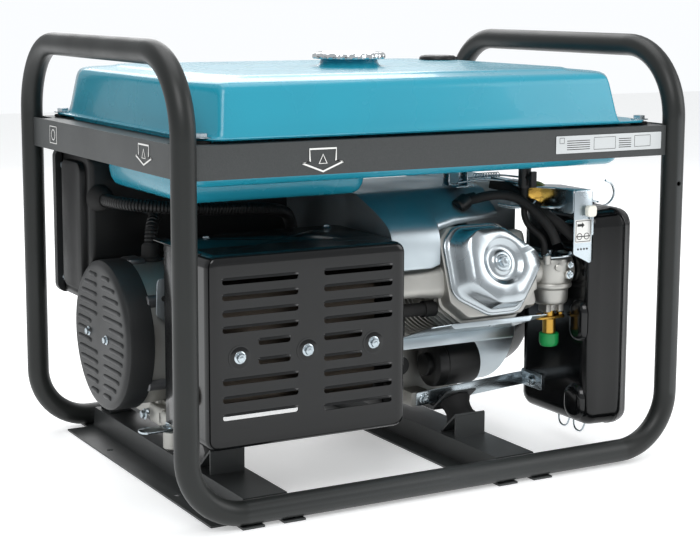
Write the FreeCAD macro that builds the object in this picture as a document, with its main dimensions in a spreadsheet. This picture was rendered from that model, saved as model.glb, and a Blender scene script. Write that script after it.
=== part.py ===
import FreeCAD, Part
import math
import os
import re
import Sketcher

# Open-frame portable petrol generator. Origin: bottom centre of the whole machine.
# +X is the air-cleaner end, -X the alternator end, -Y the exhaust side, +Y the control panel side.

DIMENSIONS = {
    # whole machine and tube frame
    "overall_length": 690, "overall_width": 520, "overall_height": 535,
    "tube": 28, "tube_wall": 2, "low_bend": 70, "top_bend": 90, "strap_hole_r": 3, "strap_hole_z": 352,
    "sheet": 2.5, "member_height": 28, "member_reach": 232,
    "left_member_x": -230, "right_member_x": 110, "hat_half": 30, "flange_out": 67, "flange_in": 55,
    "floor_hole_r": 4.5, "floor_hole_x": 54, "floor_hole_y": 108,
    "tab_width": 27, "tab_gap": 51, "tab_reach": 256,
    "rail_leg": 37, "rail_top": 424.5, "rail_shelf": 44, "end_shelf": 30,
    # rubber mounts, leaning in towards the shaft line
    "mount_lean": 40, "mount_y": 150, "mount_z": 55.6, "mount_r": 20, "mount_half": 15, "seat_half": 22,
    "cradle_top": 57, "cradle_width": 44, "bolt_r": 4, "bolt_head": 7.5, "small_bolt_r": 3,
    "small_head": 5.8, "play": 0.4,
    # shaft line
    "shaft_y": 45, "shaft_z": 168, "case_half": 85, "case_left": 32, "case_right": 150,
    "case_height": 82, "case_wall": 10, "case_slope": 40, "shaft_r": 17.5, "shaft_hole_r": 18.5,
    "cavity_r": 66, "crank_throw": 32, "crank_pin_r": 17, "web_r": 51, "web_thick": 12, "web_left": 66,
    "web_gap": 24, "taper_left": -62, "taper_right": -20, "taper_small": 9, "taper_large": 15,
    "nose_r": 12, "nose_right": 214, "lug_left": 60, "lug_right": 88, "lug_near": -71.5,
    # tilted cylinder
    "tilt": 20, "bore_r": 44, "barrel_r": 52, "bore_x": 90, "deck": 175, "barrel_start": 40,
    "fin_start": 95, "fin_pitch": 9, "fin_thick": 2.5, "fin_r": 57.5, "head_left": 36, "head_right": 170,
    "head_half": 57, "head_top": 243, "boss_r": 20, "cover_left": 39, "cover_right": 169,
    "cover_wall": 1.5, "cover_rise": 27, "cover_lip": 4, "cover_inset": 9, "cover_corner": 14,
    "piston_top": 170, "piston_skirt": 122, "piston_r": 43.6, "pin_distance": 140, "pin_r": 9,
    "rod_low": 53, "plug_y": -160, "plug_z": 205, "plug_left": -15, "plug_r": 10,
    # fan end
    "fan_right": 225, "fan_shell_r": 112, "fan_wall": 2.5, "fan_inlet_r": 68, "duct_near": -60,
    "wheel_left": 156, "wheel_face": 180, "wheel_r": 95, "blade_top": 203, "blade_root": 55,
    "cup_r": 34, "cup_right": 227,
    "recoil_right": 268, "recoil_r": 93, "reel_left": 232, "reel_right": 248, "reel_r": 46,
    "reel_pin_r": 6, "groove": 4, "rope_r": 2.5, "rope_start": 60, "grip_length": 90, "grip_r": 12,
    "grip_y": 156, "vent_half": 4,
    "starter_y": -72, "starter_z": 112, "starter_r": 30, "starter_left": 84, "starter_right": 148,
    "dipstick_x": 52, "dipstick_z": 110, "dipstick_cap": 12, "dipstick_near": -58, "dipstick_end": 10,
    # sheet metal round the cylinder
    "shroud_left": -35, "shroud_split": 35, "shroud_near": -180, "shroud_foot": 258, "shroud_knee": 305,
    "shroud_ridge": -90, "shroud_top": 343, "shroud_back": 95, "shroud_lip": -152, "shroud_wall": 1.5,
    "tray_left": 12, "tray_right": 183, "tray_drop": 63, "tray_start": 150, "tray_end": 235,
    "tray_lip": 14,
    # exhaust box
    "shield_left": -292, "shield_right": -38, "shield_near": -217, "shield_back": -50,
    "shield_low": 80, "shield_high": 300, "shield_wall": 1.5, "shield_return": -95, "slot_tall": 9,
    "slot_first": 268, "slot_pitch": 18, "shield_bolt_z": 185, "spacer_r": 8,
    "muffler_left": -268, "muffler_right": -70, "muffler_near": -198, "muffler_back": -78,
    "muffler_low": 108, "muffler_high": 272, "muffler_corner": 34, "muffler_wall": 2, "pipe_r": 14,
    "port_y": -150, "port_z": 238, "outlet_y": -170, "outlet_z": 136, "outlet_left": -300,
    # intake
    "intake_y": -160, "intake_z": 240, "throat_r": 12, "carb_left": 182, "carb_right": 233.5,
    "carb_low": 221, "carb_high": 258, "carb_half": 20, "bowl_x": 208, "bowl_r": 25, "bowl_low": 197,
              "bowl_top": 221,
    "bowl_y": -163, "plate_z": 177, "solenoid_r": 8.5, "solenoid_low": 152, "drain_r": 13.5,
    "drain_low": 141, "lever_y": -125, "hose_r": 4,
    "filter_left": 234, "filter_seam": 281, "filter_right": 298, "filter_near": -215,
    "filter_back": -61, "filter_low": 38, "filter_high": 318, "filter_wall": 2.5, "filter_corner": 20,
    "element_gap": 8, "clip_near": -150, "clip_far": -126, "clip_tip": 262, "clip_pivot": 290,
    "strap_left": 66, "strap_low": 58, "strap_rise": 11, "strap_tall": 18, "strap_near": -74,
    "plate_left": 204, "plate_right": 232, "plate_y": -214, "plate_low": 250, "plate_high": 335,
    "web_x": 217, "can_x": 208, "can_z": 330, "can_r": 15, "can_near": -150, "can_back": -115,
    "knob_x": 226, "knob_z": 320, "knob_r": 7, "choke_pivot_z": 294,
    # alternator
    "bell_left": -60, "bell_r": 88, "bell_bore": 80, "stator_left": -215, "stator_r": 86,
    "stator_bore": 56, "end_left": -288, "end_r": 89, "end_bore": 81, "end_cap_left": -318,
    "end_cap_r": 93, "plastic": 2.5, "rotor_r": 54.5, "rotor_left": -210, "rotor_right": -66,
    "rotor_shaft_r": 14, "rotor_shaft_left": -300, "rotor_fan_r": 74, "rotor_fan_right": -38,
    "ring_r": 24, "ring_left": -262, "ring_right": -236, "hub_r": 22, "foot_left": -252, "foot_half": 50,
    "gland_x": -250, "gland_r": 9, "gland_top": 272,
    # tank
    "tank_left": -300, "tank_right": 290, "tank_side": 240, "flange_x": 306, "flange_low": 428,
    "flange_thick": 1.2, "tank_top": 494, "side_lean": 17, "end_lean": 10, "corner_y": 50,
    "left_cut": 16, "right_cut": 38, "flange_cut": 20, "tub_x": 298, "tub_y": 199, "tub_far_low": 392,
    "tub_far": 112, "tub_low": 372, "sump_low": 347, "sump_left": -288, "sump_right": -40,
    "sump_near": -140, "sump_far": 105, "bushing_x": 298, "bushing_y": 219, "bushing_r": 11,
    "cap_y": -10, "cap_r": 47, "cap_low": 503, "cap_high": 512, "neck_r": 30, "seal_r": 26,
    "gauge_x": 214, "gauge_y": 118, "gauge_r": 25, "gauge_top": 500, "gauge_stem": 19,
    "needle_half": 15, "tap_x": 175, "tap_y": -150, "tap_low": 344, "tap_r": 8,
    # control panel
    "box_left": -308, "box_right": 28, "box_near": 120, "box_front": 225, "box_low": 192,
    "box_high": 384, "box_slope_y": 150, "box_slope_z": 250, "conduit_r": 8, "grommet_z": 328,
    "grommet_x": -288, "panel_front": 236, "socket_z": 285, "socket_face": 250, "socket_small": 22,
    "socket_large": 30, "socket_one": -150, "socket_two": -82, "socket_three": -8, "lid": 3,
    "key_x": -276, "breaker_x": -218, "hanger_left": -250, "hanger_right": -30,
}

doc = FreeCAD.newDocument("PortableGenerator")
sheet = doc.addObject("Spreadsheet::Sheet", "Dims")
for row, (alias, number) in enumerate(DIMENSIONS.items(), start=1):
    sheet.set(f"A{row}", alias)
    sheet.set(f"B{row}", str(number))
    sheet.setAlias(f"B{row}", alias)
doc.recompute()

TURNS = {
    "Z": FreeCAD.Rotation(),
    "X": FreeCAD.Rotation(FreeCAD.Vector(0, 1, 0), 90),
    "Y": FreeCAD.Rotation(FreeCAD.Vector(1, 0, 0), -90),
    "-Y": FreeCAD.Rotation(FreeCAD.Vector(1, 0, 0), 90),
    "-Z": FreeCAD.Rotation(FreeCAD.Vector(1, 0, 0), 180),
}
NODES = []


# ---------------------------------------------------------------- helpers

def formula(text):
    """Put the sheet's name in front of each dimension name."""
    return re.sub(r"[a-z][a-z0-9_]*", lambda m: "Dims." + m[0] if m[0] in DIMENSIONS else m[0], str(text))


def value(text):
    """The number that a formula gives."""
    return float(sheet.evalExpression(formula(text)))


def bind(obj, **sizes):
    for prop, text in sizes.items():
        obj.setExpression(prop, formula(text))
    return obj


def place(obj, at=(0, 0, 0), turn=TURNS["Z"]):
    obj.Placement = FreeCAD.Placement(FreeCAD.Vector(), turn)
    for axis, text in zip("xyz", at):
        obj.setExpression(f"Placement.Base.{axis}", formula(text))
    return obj


def box(name, low, high):
    """A block between two corners."""
    obj = doc.addObject("Part::Box", name)
    length, width, height = (f"({b}) - ({a})" for a, b in zip(low, high))
    return place(bind(obj, Length=length, Width=width, Height=height), low)


def rod(name, radius, length, at, axis="Z"):
    """A cylinder that starts at a point and runs along an axis."""
    obj = doc.addObject("Part::Cylinder", name)
    return place(bind(obj, Radius=radius, Height=length), at, TURNS[axis])


def cone(name, low_r, high_r, length, at, axis="Z"):
    obj = doc.addObject("Part::Cone", name)
    return place(bind(obj, Radius1=low_r, Radius2=high_r, Height=length), at, TURNS[axis])


def elbow(name, bend, radius, at, turn):
    """A quarter of a tube bend."""
    obj = doc.addObject("Part::Torus", name)
    obj.Angle3 = 90
    return place(bind(obj, Radius1=bend, Radius2=radius), at, turn)


def fuse(name, parts):
    obj = doc.addObject("Part::MultiFuse", name)
    obj.Shapes = parts
    return obj


def group(name, parts):
    obj = doc.addObject("Part::Compound", name)
    obj.Links = parts
    return obj


def cut(name, base, *tools):
    obj = doc.addObject("Part::Cut", name)
    obj.Base = base
    obj.Tool = tools[0] if len(tools) == 1 else fuse(name + "_tools", list(tools))
    return obj


def tube_ring(name, outer, inner, length, at, axis="Z"):
    """A plain bush or ring."""
    return cut(name, rod(name + "_outer", outer, length, at, axis),
               rod(name + "_bore", inner, length, at, axis))


def draw(sketch, outline):
    """A closed outline whose corners are tied to the sheet."""
    corners = [(value(x), value(y)) for x, y in outline]
    for start, end in zip(corners, corners[1:] + corners[:1]):
        line = Part.LineSegment(FreeCAD.Vector(*start, 0), FreeCAD.Vector(*end, 0))
        sketch.addGeometry(line, False)
    count = len(outline)
    for index in range(count):
        sketch.addConstraint(Sketcher.Constraint("Coincident", index, 2, (index + 1) % count, 1))
    for index, (across, along) in enumerate(outline):
        for kind, text in (("DistanceX", across), ("DistanceY", along)):
            number = sketch.addConstraint(Sketcher.Constraint(kind, -1, 1, index, 1, value(text)))
            sketch.setExpression(f"Constraints[{number}]", formula(text))


def sketch_on(body, name, role, outline, offset="0"):
    plane = next(f for f in body.Origin.OriginFeatures if f.Role == role)
    sketch = body.newObject("Sketcher::SketchObject", name)
    sketch.AttachmentSupport = [(plane, "")]
    sketch.MapMode = "FlatFace"
    sketch.setExpression("AttachmentOffset.Base.z", formula(offset))
    draw(sketch, outline)
    return sketch


def prism(name, role, outline, length, at=(0, 0, 0), corner=None):
    """An outline pushed out along its plane's positive axis, with round corners if asked."""
    body = doc.addObject("PartDesign::Body", name)
    sketch = sketch_on(body, name + "_outline", role, outline)
    pad = body.newObject("PartDesign::Pad", name + "_pad")
    pad.Profile = sketch
    pad.Reversed = role == "XZ_Plane"
    bind(pad, Length=length)
    if corner:
        doc.recompute()
        way = {"XY_Plane": "z", "YZ_Plane": "x", "XZ_Plane": "y"}[role]
        edges = [f"Edge{number}" for number, edge in enumerate(pad.Shape.Edges, start=1)
                 if abs(getattr(edge.tangentAt(edge.FirstParameter), way)) > 0.999]
        rounding = body.newObject("PartDesign::Fillet", name + "_rounding")
        rounding.Base = (pad, edges)
        bind(rounding, Radius=corner)
    return place(body, at)


def block(name, low, high, corner, axis):
    """A block between two corners whose edges along one axis are rounded."""
    (x0, y0, z0), (x1, y1, z1) = low, high
    if axis == "X":
        outline = [(y0, z0), (y1, z0), (y1, z1), (y0, z1)]
        return prism(name, "YZ_Plane", outline, f"({x1}) - ({x0})", (x0, 0, 0), corner)
    if axis == "Y":
        outline = [(x0, z0), (x1, z0), (x1, z1), (x0, z1)]
        return prism(name, "XZ_Plane", outline, f"({y1}) - ({y0})", (0, y0, 0), corner)
    outline = [(x0, y0), (x1, y0), (x1, y1), (x0, y1)]
    return prism(name, "XY_Plane", outline, f"({z1}) - ({z0})", (0, 0, z0), corner)


def loft(name, low_outline, low, high_outline, high):
    """A solid between two outlines at two heights."""
    body = doc.addObject("PartDesign::Body", name)
    first = sketch_on(body, name + "_low", "XY_Plane", low_outline, low)
    second = sketch_on(body, name + "_high", "XY_Plane", high_outline, high)
    feature = body.newObject("PartDesign::AdditiveLoft", name + "_loft")
    feature.Profile = first
    feature.Sections = [second]
    feature.Ruled = True
    return body


def lathe(name, outline, at, axis="Z"):
    """A turned piece; the outline holds radius and height."""
    body = doc.addObject("PartDesign::Body", name)
    sketch = sketch_on(body, name + "_outline", "XZ_Plane", outline)
    turned = body.newObject("PartDesign::Revolution", name + "_turned")
    turned.Profile = sketch
    turned.ReferenceAxis = (sketch, ["V_Axis"])
    turned.Angle = 360
    return place(body, at, TURNS[axis])


def tilted(obj):
    """Lay a piece drawn along +Z onto the cylinder's own axis."""
    place(obj, (0, "shaft_y", "shaft_z"), FreeCAD.Rotation(FreeCAD.Vector(1, 0, 0), 90 - value("tilt")))
    obj.setExpression("Placement.Rotation.Angle", formula("90 - tilt"))
    return obj


def spun(obj, angle):
    """Turn a piece about the shaft line; it is drawn with that line as its own X axis."""
    return place(obj, (0, "shaft_y", "shaft_z"), FreeCAD.Rotation(FreeCAD.Vector(1, 0, 0), angle))


def hex_bolt(name, at, way, radius, head, reach, nut=None):
    """A hexagon bolt whose head points one way from its seat; a nut can sit on its shank."""
    pieces = []
    seats = ["0"] if nut is None else ["0", f"-({nut})"]
    for count, seat in enumerate(seats):
        hexagon = doc.addObject("Part::Prism", f"{name}_hexagon_{count}")
        hexagon.Polygon = 6
        bind(hexagon, Circumradius=head, Height=f"({head}) * 0.7")
        pieces.append(place(hexagon, (0, 0, seat)))
    pieces.append(rod(name + "_shank", radius, reach, (0, 0, f"-({reach})")))
    return place(fuse(name, pieces), at, TURNS[way])


def leaned(obj, at, side):
    """Turn a piece about X by the mounts' lean, towards the shaft line."""
    return place(obj, at, FreeCAD.Rotation(FreeCAD.Vector(1, 0, 0), side * value("mount_lean")))


def routed_hose(name, points, radius, bore=0):
    """A hose along straight runs joined by tangent arcs, each as large as its runs allow."""
    corners = [FreeCAD.Vector(*map(value, point)) for point in points]
    edges, last, radii = [], corners[0], []
    for before, corner, after in zip(corners, corners[1:], corners[2:]):
        back, ahead = (before - corner), (after - corner)
        reach = 0.45 * min(back.Length, ahead.Length)
        half_turn = (math.pi - back.getAngle(ahead)) / 2
        radii.append(reach / math.tan(half_turn))
        start, end = corner + back.normalize() * reach, corner + ahead.normalize() * reach
        centre_way = ((start + end) * 0.5 - corner).normalize()
        middle = corner + centre_way * (radii[-1] / math.cos(half_turn) - radii[-1])
        edges.append(Part.LineSegment(last, start).toShape())
        edges.append(Part.Arc(start, middle, end).toShape())
        last = end
    edges.append(Part.LineSegment(last, corners[-1]).toShape())
    path = Part.Wire(edges)
    way = corners[1] - corners[0]
    profile = Part.Wire([Part.makeCircle(value(radius), corners[0], way)])
    solid = path.makePipeShell([profile], True, False)
    share = solid.Volume / (math.pi * value(radius) ** 2 * path.Length)
    print(f"{name}: length {path.Length:.0f}, volume share {share:.3f}, radii", [round(r) for r in radii])
    hose = doc.addObject("Part::Feature", name)
    hose.Shape = solid
    return hose


def node(obj, label):
    """Name a finished piece; its label is the name of its file."""
    obj.Label = label
    NODES.append(obj)
    return obj


POST_X = "(overall_length - tube) / 2"
POST_Y = "(overall_width - tube) / 2"
LOOP_RAIL_Z = "sheet + tube / 2"
HANDLE_Z = "overall_height - tube / 2"
SHIELD_BOLTS = ("-253", "-168", "-82")


# ---------------------------------------------------------------- frame

def loop_solid(name, side, radius):
    """One bent tube: half of both bottom rails, both posts and the handle across the top."""
    end_x = f"{side} * ({POST_X})"
    bend_x = f"{side} * ({POST_X} - low_bend)"
    lying = FreeCAD.Rotation(FreeCAD.Vector(1, 0, 0), 90)
    parts = []
    for far in (-1, 1):
        tag = f"{name}_{'far' if far > 0 else 'near'}"
        row = f"{far} * ({POST_Y})"
        start = "0" if side > 0 else bend_x
        parts.append(rod(tag + "_rail", radius, f"{POST_X} - low_bend", (start, row, LOOP_RAIL_Z), "X"))
        spin = FreeCAD.Rotation(FreeCAD.Vector(0, 0, 1), 270 if side > 0 else 180)
        parts.append(elbow(tag + "_low_bend", "low_bend", radius,
                           (bend_x, row, f"{LOOP_RAIL_Z} + low_bend"), lying * spin))
        parts.append(rod(tag + "_post", radius, f"{HANDLE_Z} - top_bend - ({LOOP_RAIL_Z}) - low_bend",
                         (end_x, row, f"{LOOP_RAIL_Z} + low_bend")))
        upright = FreeCAD.Rotation(FreeCAD.Vector(1, 1, 1), 120)
        quarter = FreeCAD.Rotation(FreeCAD.Vector(0, 0, 1), 0 if far > 0 else 90)
        parts.append(elbow(tag + "_top_bend", "top_bend", radius,
                           (end_x, f"{far} * ({POST_Y} - top_bend)", f"{HANDLE_Z} - top_bend"),
                           upright * quarter))
    parts.append(rod(name + "_handle", radius, f"2 * ({POST_Y} - top_bend)",
                     (end_x, f"top_bend - {POST_Y}", HANDLE_Z), "Y"))
    return fuse(name, parts)


def build_frame():
    for side, label in ((-1, "frame_loop_left"), (1, "frame_loop_right")):
        outer = loop_solid(label + "_outside", side, "tube / 2")
        inner = loop_solid(label + "_inside", side, "tube / 2 - tube_wall")
        tools = [inner]
        if side > 0:
            tools.append(rod("strap_hole", "strap_hole_r", "tube",
                             (POST_X, f"-({POST_Y}) - tube", "strap_hole_z"), "Y"))
        node(cut(label + "_tube", outer, *tools), label)

    # two long and two short angle sections between the posts carry the tank
    span = f"({POST_X} - tube / 2)"
    parts = []
    for far in (-1, 1):
        outer_y = f"{far} * ({POST_Y} + sheet)"
        inner_y = f"{far} * ({POST_Y})"
        shelf_y = f"{far} * ({POST_Y} - rail_shelf)"
        low_y, high_y = (outer_y, inner_y) if far < 0 else (inner_y, outer_y)
        leg = box(f"long_leg_{far + 1}", (f"-{span}", low_y, "rail_top - rail_leg"),
                  (span, high_y, "rail_top"))
        low_y, high_y = (inner_y, shelf_y) if far < 0 else (shelf_y, inner_y)
        shelf = box(f"long_shelf_{far + 1}", (f"-{span}", low_y, "rail_top - sheet"),
                    (span, high_y, "rail_top"))
        holes = [rod(f"rail_hole_{far + 1}_{end + 1}", "bolt_r + play", "4 * sheet",
                     (f"{end} * bushing_x", f"{far} * bushing_y", "rail_top - 2 * sheet")) for end in (-1,
                                                                                                       1)]
        parts.append(cut(f"long_rail_{far + 1}", fuse(f"long_angle_{far + 1}", [leg, shelf]), *holes))
    for end in (-1, 1):
        outer_x, inner_x = f"{end} * ({POST_X} + sheet)", f"{end} * ({POST_X})"
        shelf_x = f"{end} * ({POST_X} - end_shelf)"
        reach = f"({POST_Y} - tube / 2)"
        low_x, high_x = (outer_x, inner_x) if end < 0 else (inner_x, outer_x)
        leg = box(f"end_leg_{end + 1}", (low_x, f"-{reach}", "rail_top - rail_leg"),
                  (high_x, reach, "rail_top"))
        low_x, high_x = (inner_x, shelf_x) if end < 0 else (shelf_x, inner_x)
        inner_reach = f"({POST_Y} - rail_shelf)"
        shelf = box(f"end_shelf_{end + 1}", (low_x, f"-{inner_reach}", "rail_top - sheet"),
                    (high_x, inner_reach, "rail_top"))
        parts.append(fuse(f"end_rail_{end + 1}", [leg, shelf]))
    node(group("tank_rail_set", parts), "tank_rails")


def hat_section(name, centre, outside):
    """A folded hat channel across the machine; its outer foot is the wider one."""
    left = f"{centre} - {'flange_out' if outside < 0 else 'flange_in'}"
    right = f"{centre} + {'flange_in' if outside < 0 else 'flange_out'}"
    outline = [
        (left, "0"), (f"{centre} - hat_half + sheet", "0"),
        (f"{centre} - hat_half + 2 * sheet", "member_height - sheet"),
        (f"{centre} + hat_half - 2 * sheet", "member_height - sheet"),
        (f"{centre} + hat_half - sheet", "0"), (right, "0"), (right, "sheet"),
        (f"{centre} + hat_half", "sheet"), (f"{centre} + hat_half - sheet", "member_height"),
        (f"{centre} - hat_half + sheet", "member_height"), (f"{centre} - hat_half", "sheet"),
        (left, "sheet"),
    ]
    channel = prism(name + "_channel", "XZ_Plane", outline, "2 * member_reach", (0, "-member_reach", 0))
    pieces = [channel]
    for far in (-1, 1):
        for turn in (-1, 1):
            middle = f"{centre} + {turn} * tab_gap / 2"
            reach = ("-tab_reach", "-member_reach") if far < 0 else ("member_reach", "tab_reach")
            pieces.append(box(f"{name}_tab_{far + 1}_{turn + 1}",
                              (f"{middle} - tab_width / 2", reach[0], "0"),
                              (f"{middle} + tab_width / 2", reach[1], "sheet")))
    holes = [rod(f"{name}_hole_{far + 1}", "floor_hole_r", "3 * sheet",
                 (f"{centre} + {outside} * floor_hole_x", f"{far} * floor_hole_y",
                  "-sheet")) for far in (-1, 1)]
    return cut(name, fuse(name + "_folded", pieces), *holes)


def mount_point(side):
    """Where a rubber mount's middle lies, on the near (-1) or far (+1) side."""
    return f"shaft_y + {side} * mount_y"


def build_supports():
    """Cross members with their slanted seats, rubber mounts, and the cradles they carry."""
    parts = [hat_section("left_member", "left_member_x", -1),
             hat_section("right_member", "right_member_x", 1)]
    rubbers, cradles = [], []
    seat_drop = "mount_half * cos(mount_lean)"
    for member, x_text in (("left", "left_member_x"), ("right", "right_member_x")):
        arms = []
        for side in (-1, 1):
            tag = f"{member}_{'near' if side < 0 else 'far'}"
            middle = (x_text, mount_point(side), "mount_z")
            plate = box(tag + "_seat", ("-seat_half", "-seat_half", "-mount_half - sheet"),
                        ("seat_half", "seat_half", "-mount_half"))
            top = box(tag + "_arm", ("-seat_half", "-seat_half", "mount_half"),
                      ("seat_half", "seat_half", "mount_half + sheet"))
            rubber = rod(tag + "_rubber", "mount_r", "2 * mount_half", ("0", "0", "-mount_half"))
            seat = leaned(group(tag + "_seat_set", [plate]), middle, side)
            arm = leaned(group(tag + "_arm_set", [top]), middle, side)
            rubbers.append(leaned(group(tag + "_rubber_set", [rubber]), middle, side))
            outer = f"{mount_point(side)} + {side} * (seat_half * cos(mount_lean)"
            outer += " + (mount_half + sheet) * sin(mount_lean) - sheet / 2)"
            leg = box(tag + "_leg", (f"{x_text} - seat_half", f"{outer} - sheet / 2", "member_height"),
                      (f"{x_text} + seat_half", f"{outer} + sheet / 2",
                       f"mount_z - {seat_drop} + seat_half * sin(mount_lean) - sheet"))
            parts.append(fuse(tag + "_bracket", [seat, leg]))
            arms.append(arm)
        inner = "(mount_y - mount_r * cos(mount_lean) - mount_half * sin(mount_lean))"
        bar = box(member + "_bar",
                  (f"{x_text} - cradle_width / 2", f"shaft_y - {inner}", "cradle_top - 2 * sheet"),
                  (f"{x_text} + cradle_width / 2", f"shaft_y + {inner}", "cradle_top"))
        holes = [rod(f"{member}_bar_hole_{end + 1}", "bolt_r + play", "6 * sheet",
                     (x_text, f"shaft_y + {end} * foot_half * 0.7", "cradle_top - 4 * sheet"))
                 for end in (-1, 1)]
        cradles.append(cut(member + "_cradle", fuse(member + "_welded", [bar] + arms), *holes))
    node(group("cross_member_set", parts), "cross_members")
    node(group("rubber_mount_set", rubbers), "rubber_mounts")
    return cradles


# ---------------------------------------------------------------- engine

def build_crankcase():
    slope = "case_half - case_slope"
    outline = [
        ("shaft_y - case_half", "cradle_top"), ("shaft_y + case_half", "cradle_top"),
        ("shaft_y + case_half", "shaft_z + case_slope"),
        (f"shaft_y + case_half - ({slope})", "shaft_z + case_height"),
        (f"shaft_y - case_half + ({slope})", "shaft_z + case_height"),
        ("shaft_y - case_half", "shaft_z + case_slope"),
    ]
    casting = prism("casting", "YZ_Plane", outline, "case_right - case_left", ("case_left", 0, 0))
    lug = box("strap_lug", ("lug_left", "lug_near", "strap_low"),
              ("lug_right", "shaft_y - case_half", "strap_low + 18"))
    pieces = [rod("barrel", "barrel_r", "deck - barrel_start", ("bore_x", 0, "barrel_start"))]
    for count in range(8):
        pieces.append(rod(f"barrel_fin_{count}", "fin_r", "fin_thick",
                          ("bore_x", 0, f"fin_start + {count} * fin_pitch")))
    barrel = tilted(fuse("finned_barrel", pieces))
    tools = [
        rod("crank_space", "cavity_r", "case_right - case_left - 2 * case_wall",
            ("case_left + case_wall", "shaft_y", "shaft_z"), "X"),
        tilted(group("bore_tool", [rod("cylinder_bore", "bore_r", "deck + 10", ("bore_x", 0, 0))])),
        rod("shaft_passage", "shaft_hole_r", "2 * case_right", ("-case_left", "shaft_y", "shaft_z"), "X"),
        rod("dipstick_hole", "bolt_r", "case_half - 20",
            ("dipstick_x", "shaft_y - case_half - 1", "dipstick_z"), "Y"),
    ]
    for end in (-1, 1):
        tools.append(rod(f"case_foot_hole_{end + 1}", "bolt_r + play", "10",
                         ("right_member_x", f"shaft_y + {end} * foot_half * 0.7", "cradle_top - 1")))
    node(cut("crankcase_cast", fuse("crankcase_solid", [casting, lug, barrel]), *tools), "crankcase")


def build_cylinder_head():
    pieces = [
        box("head_core", ("head_left + 12", "-head_half + 10", "deck"),
            ("head_right - 8", "head_half - 10", "head_top - 7")),
        box("valve_deck", ("cover_left", "-head_half", "head_top - 7"),
            ("cover_right", "head_half", "head_top")),
    ]
    for count in range(6):
        level = f"deck + 5 + {count} * fin_pitch"
        pieces.append(box(f"head_fin_{count}", ("head_left", "-head_half", level),
                          ("head_right - 2", "head_half", f"{level} + fin_thick")))
    tools = [
        rod("combustion_space", "bore_r - 6", "9", ("bore_x", 0, "deck - 1")),
        box("rocker_space", ("cover_left + 20", "-head_half + 24", "head_top - 20"),
            ("cover_right - 22", "head_half - 24", "head_top + 1")),
    ]
    hollow = tilted(cut("head_block", fuse("head_solid", pieces), *tools))
    bosses = [
        rod("intake_boss", "boss_r", "12", ("head_right - 12", "intake_y", "intake_z"), "X"),
        rod("exhaust_boss", "boss_r", "14", ("head_left", "port_y", "port_z"), "X"),
    ]
    ports = [
        rod("intake_port", "throat_r", "40", ("head_right - 39", "intake_y", "intake_z"), "X"),
        rod("exhaust_port", "throat_r", "36", ("head_left - 1", "port_y", "port_z"), "X"),
    ]
    node(cut("head_cast", fuse("head_and_bosses", [hollow] + bosses), *ports), "cylinder_head")

    # pressed rocker cover on top of the head
    skin = "cover_wall"
    rim = block("cover_rim", ("cover_left", "-head_half", "head_top"),
                ("cover_right", "head_half", "head_top + cover_lip"), "cover_corner / 2", "Z")
    dome = block("cover_dome", ("cover_left + cover_inset", "-head_half + cover_inset", "head_top"),
                 ("cover_right - cover_inset", "head_half - cover_inset", "head_top + cover_rise"),
                 "cover_corner", "Z")
    space = block("cover_space",
                  (f"cover_left + cover_inset + {skin}", f"-head_half + cover_inset + {skin}",
                   "head_top - 1"),
                  (f"cover_right - cover_inset - {skin}", f"head_half - cover_inset - {skin}",
                   f"head_top + cover_rise - {skin}"), f"cover_corner - {skin}", "Z")
    hole = rod("cover_bolt_hole", "small_bolt_r + play", "cover_rise",
               ("(cover_left + cover_right) / 2", 0, "head_top + 10"))
    node(tilted(cut("pressed_cover", fuse("cover_solid", [rim, dome]), space, hole)), "valve_cover")

    plug = [
        rod("plug_shell", "plug_r", "16", ("head_left - 16", "plug_y", "plug_z"), "X"),
        rod("plug_boot", "plug_r - 2", "head_left - 16 - (plug_left)", ("plug_left", "plug_y", "plug_z"),
            "X"),
        rod("plug_lead", "bolt_r", "30", ("plug_left + 5", "plug_y", "plug_z - 30")),
    ]
    node(fuse("plug_and_boot", plug), "spark_plug")


def build_crank_train():
    pin_y = "shaft_y - crank_throw * cos(tilt)"
    pin_z = "shaft_z + crank_throw * sin(tilt)"
    web_two = "web_left + web_thick + web_gap"
    shaft_pieces = [
        cone("crank_taper", "taper_small", "taper_large", "taper_right - (taper_left)",
             ("taper_left", "shaft_y", "shaft_z"), "X"),
        rod("crank_left", "shaft_r", "web_left - (taper_right)", ("taper_right", "shaft_y", "shaft_z"),
            "X"),
        rod("crank_web_left", "web_r", "web_thick", ("web_left", "shaft_y", "shaft_z"), "X"),
        rod("crank_pin", "crank_pin_r", "web_gap", ("web_left + web_thick", pin_y, pin_z), "X"),
        rod("crank_web_right", "web_r", "web_thick", (web_two, "shaft_y", "shaft_z"), "X"),
        rod("crank_right", "shaft_r", f"wheel_left - ({web_two} + web_thick)",
            (f"{web_two} + web_thick", "shaft_y", "shaft_z"), "X"),
        rod("crank_nose", "nose_r", "nose_right - wheel_left", ("wheel_left", "shaft_y", "shaft_z"), "X"),
    ]
    node(fuse("crankshaft_forging", shaft_pieces), "crankshaft")

    piston = [
        cut("piston_cup", rod("piston_body", "piston_r", "piston_top - piston_skirt",
                              ("bore_x", 0, "piston_skirt")),
            rod("piston_space", "piston_r - 4", "piston_top - piston_skirt - 8",
                ("bore_x", 0, "piston_skirt - 1"))),
        rod("gudgeon_pin", "pin_r", "2 * piston_r - 6", ("bore_x - piston_r + 3", 0, "pin_distance"), "X"),
        rod("rod_small_end", "pin_r + 5", "20", ("bore_x - 10", 0, "pin_distance"), "X"),
        box("rod_shank", ("bore_x - 5", "-11", "rod_low"), ("bore_x + 5", "11", "pin_distance")),
    ]
    node(tilted(fuse("piston_and_rod", piston)), "piston_set")


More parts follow.
